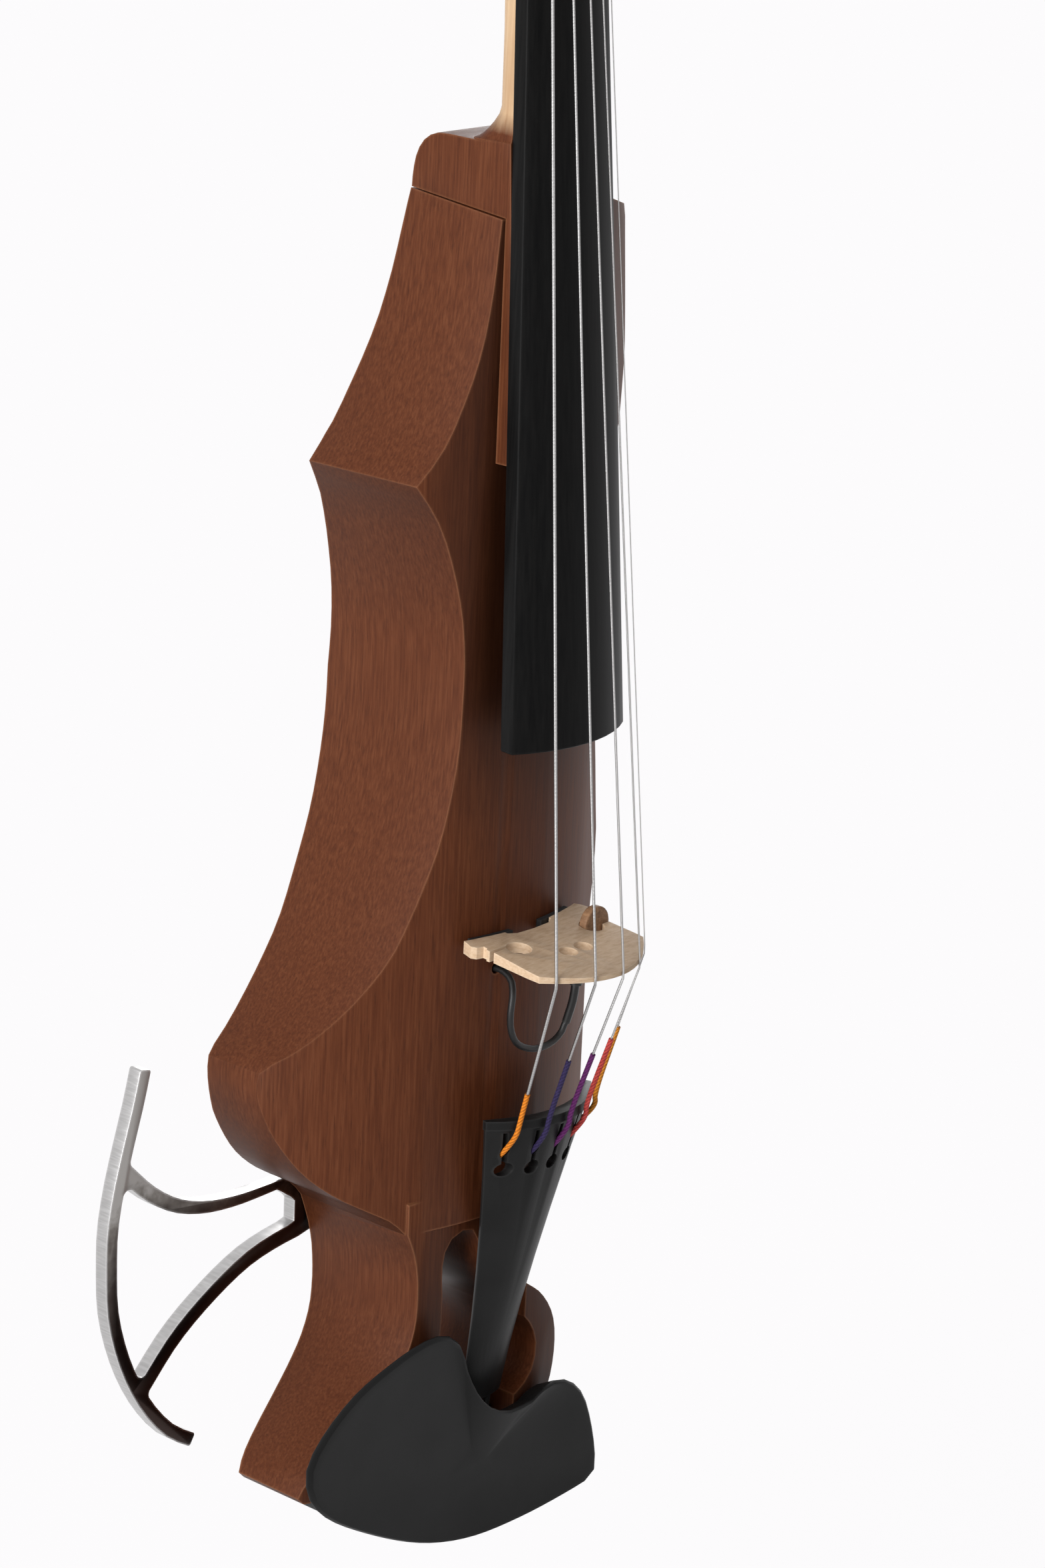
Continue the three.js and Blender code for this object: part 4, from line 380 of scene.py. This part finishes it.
def bracket_steel():
    """Bright brushed steel, its edges lighter with wear and a painted highlight, and a front face in painted
    shade, brownish as a painted reflection of the body, that lightens upwards.
    """
    t = Tree("brushed_steel")
    across = t.noise((240, 160, 2400), 3.0, 0.5)
    mottle = t.noise((110,) * 3, 4.0, 0.6)
    brushed = ((0.30, (0.43, 0.425, 0.42)), (0.55, (0.50, 0.495, 0.49)), (0.75, (0.57, 0.565, 0.56)))
    bright = t.ramp(across, *brushed)
    height = t.math("ADD", t.axis("Z"), t.shade(mottle, (-BRACKET_DRIFT, BRACKET_DRIFT), (0.3, 0.7)))
    rise = t.shade(height, (0.0, 1.0), BRACKET_SHADE)
    # Painted shade and painted reflection of the brown body, from low to high.
    shade_and_reflection_tones = (
        (0.0, (0.045, 0.030, 0.026)),
        (0.45, (0.075, 0.062, 0.056)),
        (0.8, (0.19, 0.175, 0.16)),
        (1.0, (0.34, 0.325, 0.31)),
    )
    face = t.ramp(rise, *shade_and_reflection_tones)
    # Painted shade falls on the faces turned to the front.
    front = t.shade(t.facing("Y"), (1.0, 0.0), (-0.95, -0.6))
    # Edges lighter: partly wear, partly a painted highlight.
    tone = t.worn_and_highlit(0.7, t.blend(front, bright, face), (0.70, 0.695, 0.69))
    t.bump(across, 0.006, 0.02 * MM)
    return t.finish(tone, t.shade(across, (0.26, 0.34)), metal=1.0)


def wound_string():
    t = Tree("wound_string")
    turns = t.bands(900.0)
    tone = t.ramp(turns, (0.2, (0.24, 0.235, 0.23)), (0.8, (0.48, 0.475, 0.47)))
    t.bump(turns, 0.3)
    return t.finish(tone, 0.34, metal=1.0)


def twisted_thread(name, color):
    t = Tree(name)
    twist = t.bands(420.0, 0.6, (0.5, 0.5, 0))
    fuzz = t.noise((3000, 3000, 900), 3.0, 0.6)
    frayed = tuple(min(1.0, part * 1.5 + 0.02) for part in color)
    tone = t.blend(t.shade(twist, (0.0, 0.8)), shaded(color, 0.42), color)
    tone = t.blend(t.shade(fuzz, (0.0, 0.35), (0.4, 0.8)), tone, frayed)
    t.bump(twist, 0.5, 0.2 * MM)
    return t.finish(tone, 0.75, specular=0.2)


def cork():
    t = Tree("cork_grain")
    grains = t.cells(900.0)
    tone = t.ramp(grains, (0.1, (0.10, 0.05, 0.025)), (0.35, (0.33, 0.19, 0.09)), (0.8, (0.42, 0.26, 0.13)))
    t.bump(grains, 0.4, 0.2 * MM)
    return t.finish(tone, 0.9, specular=0.2)


def board_mask():
    t = Tree("board_mask")
    tracks = t.cells(420.0)
    tone = t.ramp(tracks, (0.2, (0.008, 0.07, 0.03)), (0.5, (0.02, 0.13, 0.05)))
    t.bump(tracks, 0.2)
    return t.finish(tone, 0.35)


def battery_case():
    t = Tree("battery_case")
    level = t.noise((400, 400, 30), 3.0, 0.5)
    tone = t.ramp(level, (0.3, (0.028, 0.032, 0.042)), (0.7, (0.045, 0.050, 0.062)))
    t.bump(level, 0.03, 0.2 * MM)
    return t.finish(tone, 0.38, metal=0.3)


MATERIALS = {
    "stained_maple": stained_wood(),
    "natural_maple": neck_wood(),
    "ebony": black_wood(),
    "bridge_maple": bridge_wood(),
    "pickup_wood": pickup_wood(),
    "sensor_rubber": matte_black("sensor_skin", 0.006, 0.6),
    "black_lead": matte_black("lead_jacket", 0.008, 0.42, 1800.0, 0.08),
    "black_plastic": matte_black("moulded_black", 0.008, 0.40, 2600.0, 0.04, 0.12),
    "gut_black": matte_black("tail_cord", 0.008, 0.5),
    "black_metal": matte_black("black_paint", 0.011, 0.36, 2000.0, 0.06),
    "chrome": polished_metal(),
    "cork": cork(),
    "brushed_steel": bracket_steel(),
    "board_green": board_mask(),
    "battery_shell": battery_case(),
    "string_steel": wound_string(),
    "silk_orange": twisted_thread("thread_orange", (0.85, 0.24, 0.015)),
    "silk_navy": twisted_thread("thread_navy", (0.028, 0.018, 0.075)),
    "silk_purple": twisted_thread("thread_purple", (0.14, 0.02, 0.14)),
    "silk_red": twisted_thread("thread_red", (0.72, 0.085, 0.075)),
    "silk_amber": twisted_thread("thread_amber", (0.75, 0.26, 0.02)),
}


# Pieces that stand for the solids

SAME_POINT = 0.01 * MM
NEAR_POINT = 0.02 * MM
FLAT_ANGLE = math.radians(0.6)
EDGE_ANGLE = math.radians(26)
EDGE_STEPS = 3
CREASE_ANGLE = math.radians(35)
TUBE_CREASE = math.radians(60)
ROUND_STEPS = 5


def copy_of(node):
    """The node's mesh in one piece again, in a new object, without the normals it came with."""
    mesh = NODES[node].data.copy()
    mesh.materials.clear()
    piece = bpy.data.objects.new(node + "_shaped", mesh)
    bpy.context.scene.collection.objects.link(piece)
    work = bmesh.new()
    work.from_mesh(mesh)
    bmesh.ops.remove_doubles(work, verts=work.verts, dist=SAME_POINT)
    work.to_mesh(mesh)
    work.free()
    own = mesh.attributes.get("custom_normal")
    if own:
        mesh.attributes.remove(own)
    return piece


def applied(piece):
    """Works the piece's modifiers into its mesh."""
    graph = bpy.context.evaluated_depsgraph_get()
    mesh = bpy.data.meshes.new_from_object(piece.evaluated_get(graph))
    piece.modifiers.clear()
    piece.data = mesh


def smooth(piece, crease=None):
    """Shades the piece smoothly, but for edges that turn by more than the crease angle."""
    for face in piece.data.polygons:
        face.use_smooth = True
    if crease is not None:
        piece.data.set_sharp_from_angle(angle=crease)


def seat(piece, node):
    """Puts the piece in the node's place, on its body and in its material."""
    slot_name = SLOT_OF[node]
    piece.data.materials.clear()
    piece.data.materials.append(MATERIALS[slot_name])
    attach(piece, BODY_OF[node])
    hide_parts(node)


def softened(node, voxel, passes):
    """A copy of the node that is rounded all over: an even remesh, then some smoothing."""
    piece = copy_of(node)
    remesh = piece.modifiers.new("even", "REMESH")
    remesh.mode = "VOXEL"
    remesh.voxel_size = voxel
    ease = piece.modifiers.new("ease", "SMOOTH")
    ease.iterations = passes
    applied(piece)
    smooth(piece)
    seat(piece, node)


def crisp(node, width):
    """A copy of the node with its flats joined up and its edges rounded, as far as they have room."""
    piece = copy_of(node)
    work = bmesh.new()
    work.from_mesh(piece.data)
    bmesh.ops.remove_doubles(work, verts=work.verts, dist=NEAR_POINT)
    bmesh.ops.dissolve_limit(
        work, angle_limit=FLAT_ANGLE, verts=work.verts, edges=work.edges, delimit={"NORMAL"}
    )
    sharp = [e for e in work.edges if len(e.link_faces) == 2 and e.calc_face_angle(0) > EDGE_ANGLE]
    bmesh.ops.bevel(
        work, geom=sharp, affect="EDGES", offset=width, offset_type="OFFSET", segments=EDGE_STEPS,
        profile=0.5, clamp_overlap=True, material=-1, loop_slide=True,
    )
    work.normal_update()
    work.to_mesh(piece.data)
    work.free()
    smooth(piece, CREASE_ANGLE)
    seat(piece, node)


def thinned(node, amount):
    """A copy of a tube with its skin drawn in."""
    piece = copy_of(node)
    slim = piece.modifiers.new("slim", "DISPLACE")
    slim.mid_level = 0.0
    slim.strength = -amount
    applied(piece)
    smooth(piece, TUBE_CREASE)
    seat(piece, node)


def smoothed(node):
    """A copy of a tube, smooth along its skin."""
    piece = copy_of(node)
    smooth(piece, TUBE_CREASE)
    seat(piece, node)


def round_line(node, points, radius):
    """A curve with a round section through the points, in place of the node."""
    data = bpy.data.curves.new(node + "_line", "CURVE")
    data.dimensions = "3D"
    data.bevel_depth = radius
    data.bevel_resolution = ROUND_STEPS
    data.use_fill_caps = True
    spline = data.splines.new("POLY")
    spline.points.add(len(points) - 1)
    for target, point in zip(spline.points, points):
        target.co = (*point, 1.0)
    spline.use_smooth = True
    piece = bpy.data.objects.new(node + "_shaped", data)
    bpy.context.scene.collection.objects.link(piece)
    seat(piece, node)
    return piece


# Pickup lead: the solid's own route in millimetres, from just inside the sleeve to the board

LEAD_SIZE = 1.8 * MM
LEAD_EXIT = (9.85, -59.15, -24.1)
LEAD_ROUTE = [
    (9.6, -58.82, -24.91), (8.61, -58.62, -26.99), (5.81, -58.42, -28.81), (1.19, -58.22, -29.5),
    (-3.6, -58.03, -28.61), (-8.91, -58.03, -25.61), (-11.55, -58.22, -21.19), (-12.21, -58.42, -16.4),
    (-11.22, -58.03, -12.01), (-9.6, -56.01, -8.81), (-9.11, -53.01, -7.19), (-9.01, -49.59, -7.01),
    (-9.01, -39.86, -9.44), (-9.01, -29.86, -11.93), (-9.01, -20.2, -14.34), (-9.01, -14.84, -16.5),
    (-9.01, -14.31, -20.4),
]
LEAD_STEPS = 44
FINE_STEPS = 40


def curve_through(points):
    """A smooth line through the points, of the centripetal kind, in fine steps."""
    ends = [2 * points[0] - points[1], *points, 2 * points[-1] - points[-2]]
    line = [points[0]]
    for a, b, c, d in zip(ends, ends[1:], ends[2:], ends[3:]):
        before, along, after = (math.sqrt((q - p).length) for p, q in ((a, b), (b, c), (c, d)))
        leave = ((b - a) / before - (c - a) / (before + along) + (c - b) / along) * along
        arrive = ((c - b) / along - (d - b) / (along + after) + (d - c) / after) * along
        for step in range(1, FINE_STEPS + 1):
            t = step / FINE_STEPS
            start = 2 * t ** 3 - 3 * t ** 2 + 1
            pull = t ** 3 - 2 * t ** 2 + t
            push = t ** 3 - t ** 2
            line.append(start * b + (1 - start) * c + pull * leave + push * arrive)
    return line


def length_of(line):
    return sum((b - a).length for a, b in zip(line, line[1:]))


def cut_evenly(line, steps):
    """The line again, with its points at equal distances."""
    stride = length_of(line) / steps
    cut = [line[0]]
    passed = 0.0
    for a, b in zip(line, line[1:]):
        reach = passed + (b - a).length
        while len(cut) < steps and len(cut) * stride <= reach:
            cut.append(a.lerp(b, (len(cut) * stride - passed) / (reach - passed)))
        passed = reach
    return cut + [line[-1]]


def in_metres(point):
    """A place in millimetres, taken to the nearest hundredth, as a place in metres."""
    return Vector([round(part, 2) for part in point]) * MM


def make_lead():
    route = curve_through([Vector(point) for point in LEAD_ROUTE])
    line = [in_metres(point) for point in (LEAD_EXIT, *cut_evenly(route, LEAD_STEPS))]
    lead = round_line("pickup_lead", line, LEAD_SIZE / 2)


make_lead()


# Threads at the strings' lower ends: over the tailpiece's fret and into its slots. Distances are in
# millimetres, heights count outwards from the back, and levels go up the instrument from the bridge.

STRINGS = "cgdae"
THREAD_SIZE = 1.4 * MM
THREADS_APART = 7.5
THREAD_STARTS = {
    "c": (-15.75, -68.42, -35.2),
    "g": (-8.27, -75.57, -25.8),
    "d": (0, -76.8, -25.8),
    "a": (8.35, -75.91, -24),
    "e": (16.7, -71.26, -24),
}
FRET_HEIGHTS = {"c": 65.66, "g": 69.09, "d": 70.05, "a": 69.09, "e": 65.66}
SLOT_HEIGHTS = {"c": 61.05, "g": 65.1, "d": 66.23, "a": 65.1, "e": 61.05}
END_DROP = 2.72
FRET_LEVEL = -44.1
PAST_FRET_LEVEL = -47.55
SLOT_LEVEL = -53.3
END_LEVEL = -56.02
PAST_FRET_SPREAD = 1.0742
END_SPREAD = 0.965
CORNER_CUTS = 3


def thread_route(letter):
    across = (STRINGS.index(letter) - STRINGS.index("d")) * THREADS_APART
    fret = -FRET_HEIGHTS[letter]
    slot = -SLOT_HEIGHTS[letter]
    points = [
        THREAD_STARTS[letter],
        (across, fret, FRET_LEVEL),
        (across * PAST_FRET_SPREAD, fret, PAST_FRET_LEVEL),
        (across, slot, SLOT_LEVEL),
        (across * END_SPREAD, slot + END_DROP, END_LEVEL),
    ]
    return [in_metres(point) for point in points]


def corners_cut(line):
    """The same line with its corners cut, a few times over."""
    for _ in range(CORNER_CUTS):
        cut = [line[0]]
        for a, b in zip(line, line[1:]):
            cut += [a.lerp(b, 0.25), a.lerp(b, 0.75)]
        line = cut + [line[-1]]
    return line


# The other pieces: how far each edge is rounded, and how far each string's skin is drawn in, in millimetres

MAIN_EDGES = {"body": 0.9, "neck": 0.6, "fingerboard": 0.5, "bridge": 0.25}
FITTING_EDGES = {"tailpiece": 0.35, "chin_rest": 0.9, "saddle": 0.5, "nut": 0.4}
PLATE_EDGE = 0.3
KNOB_EDGE = 0.2
STRING_SLIM = {"c": 0.10, "g": 0.08, "d": 0.07, "a": 0.06, "e": 0.04}
TUBES = ("pickup_sleeve", "tailgut", "battery_lead", "jack_lead")
PLATES = ("side_bracket", "clamp_front", "clamp_foot", "electronics_cover", "battery_door", "control_plate")
KNOBS = ("volume_knob", "tone_knob", "end_pin", "output_jack", "jack_nut")

for name, width in MAIN_EDGES.items():
    crisp(name, width * MM)
softened("bridge_pickup", voxel=0.3 * MM, passes=2)
for name, width in FITTING_EDGES.items():
    crisp(name, width * MM)
for letter in STRINGS:
    softened("peg_" + letter, voxel=0.5 * MM, passes=3)
    thinned("string_" + letter, STRING_SLIM[letter] * MM)
    round_line("silk_" + letter, corners_cut(thread_route(letter)), THREAD_SIZE / 2)
for name in TUBES:
    smoothed(name)
for name in PLATES:
    crisp(name, PLATE_EDGE * MM)
for name in KNOBS:
    crisp(name, KNOB_EDGE * MM)

for name, node in NODES.items():
    if not node.hide_render:
        node.data.materials.clear()
        node.data.materials.append(MATERIALS[SLOT_OF[name]])


# Stage and light, in metres and watts

BACKDROP = (0.975, 0.965, 0.975)
WORLD_STRENGTH = 0.24
FLOOR_LEVEL = -0.42
FLOOR_RADIUS = 3.0
FLOOR_SIDES = 96
FLOOR_TONE = grey(0.8)
FLOOR_ROUGHNESS = 0.9
# The floor that the eye sees is a pale glow that shadows darken, and it fades to the backdrop outwards.
FLOOR_GLOW = 0.93
SHADOW_TONE = grey(0.10)
SHADOW_REACH = (0.35, 1.05)
# Each lamp's name, place, the point it aims at, its size and its power
LAMPS = [
    ("key", (-1.9, -0.15, 0.5), (0, 0, 0.0), (1.2, 1.6), 46),
    ("fill", (-0.4, -2.0, 0.7), (0, 0, 0.05), (1.0, 1.2), 3),
    ("rim", (1.4, 0.9, 0.6), (0, 0, 0.05), (0.8, 1.6), 10),
]


def white_to_eye(tree, plain, white):
    """Mixes to the white shader for camera, glossy and transmission rays."""
    path = tree.nodes.new("ShaderNodeLightPath")
    seen = path.outputs["Is Camera Ray"]
    for ray in ("Is Glossy Ray", "Is Transmission Ray"):
        either = tree.nodes.new("ShaderNodeMath")
        either.operation = "MAXIMUM"
        tree.links.new(seen, either.inputs[0])
        tree.links.new(path.outputs[ray], either.inputs[1])
        seen = either.outputs["Value"]
    mix = tree.nodes.new("ShaderNodeMixShader")
    tree.links.new(seen, mix.inputs["Fac"])
    tree.links.new(plain, mix.inputs[1])
    tree.links.new(white, mix.inputs[2])
    return mix.outputs["Shader"]


def make_world():
    world = bpy.data.worlds.new("studio")
    bpy.context.scene.world = world
    world.use_nodes = True
    tree = world.node_tree
    plain = tree.nodes["Background"]
    plain.inputs["Color"].default_value = (1.0, 1.0, 1.0, 1.0)
    plain.inputs["Strength"].default_value = WORLD_STRENGTH
    white = tree.nodes.new("ShaderNodeBackground")
    white.inputs["Color"].default_value = (*BACKDROP, 1.0)
    white.inputs["Strength"].default_value = 1.0
    shader = white_to_eye(tree, plain.outputs["Background"], white.outputs["Background"])
    tree.links.new(shader, tree.nodes["World Output"].inputs["Surface"])


def glow(tree, strength):
    node = tree.nodes.new("ShaderNodeEmission")
    node.inputs["Color"].default_value = (*BACKDROP, 1.0)
    node.inputs["Strength"].default_value = strength
    return node.outputs["Emission"]


def outwards(tree):
    """0 near the middle of the floor to 1 far out."""
    place = tree.nodes.new("ShaderNodeTexCoord")
    length = tree.nodes.new("ShaderNodeVectorMath")
    length.operation = "LENGTH"
    tree.links.new(place.outputs["Object"], length.inputs[0])
    far = tree.nodes.new("ShaderNodeMapRange")
    far.interpolation_type = "SMOOTHSTEP"
    far.inputs["From Min"].default_value, far.inputs["From Max"].default_value = SHADOW_REACH
    tree.links.new(length.outputs["Value"], far.inputs["Value"])
    return far.outputs["Result"]


def floor_material():
    material = bpy.data.materials.new("floor")
    material.use_nodes = True
    tree = material.node_tree
    nodes, links = tree.nodes, tree.links
    plain = nodes["Principled BSDF"]
    plain.inputs["Base Color"].default_value = (*FLOOR_TONE, 1.0)
    plain.inputs["Roughness"].default_value = FLOOR_ROUGHNESS
    plain.inputs["Specular IOR Level"].default_value = 0.0
    shadow = nodes.new("ShaderNodeBsdfDiffuse")
    shadow.inputs["Color"].default_value = (*SHADOW_TONE, 1.0)
    both = nodes.new("ShaderNodeAddShader")
    links.new(glow(tree, FLOOR_GLOW), both.inputs[0])
    links.new(shadow.outputs["BSDF"], both.inputs[1])
    fade = nodes.new("ShaderNodeMixShader")
    links.new(outwards(tree), fade.inputs["Fac"])
    links.new(both.outputs["Shader"], fade.inputs[1])
    links.new(glow(tree, 1.0), fade.inputs[2])
    shader = white_to_eye(tree, plain.outputs["BSDF"], fade.outputs["Shader"])
    links.new(shader, nodes["Material Output"].inputs["Surface"])
    return material


def make_floor():
    mesh = bpy.data.meshes.new("floor")
    work = bmesh.new()
    bmesh.ops.create_circle(work, cap_ends=True, radius=FLOOR_RADIUS, segments=FLOOR_SIDES)
    work.to_mesh(mesh)
    work.free()
    mesh.materials.append(floor_material())
    floor = bpy.data.objects.new("floor", mesh)
    floor.location = (0, 0, FLOOR_LEVEL)
    bpy.context.scene.collection.objects.link(floor)


def make_lamp(name, place, aim, size, power):
    data = bpy.data.lights.new(name, "AREA")
    data.shape = "RECTANGLE"
    data.size, data.size_y = size
    data.energy = power
    lamp = bpy.data.objects.new(name, data)
    lamp.location = place
    lamp.rotation_euler = (Vector(aim) - Vector(place)).to_track_quat("-Z", "Y").to_euler()
    bpy.context.scene.collection.objects.link(lamp)


make_world()
make_floor()
for lamp in LAMPS:
    make_lamp(*lamp)

bpy.context.scene.view_settings.view_transform = "Standard"
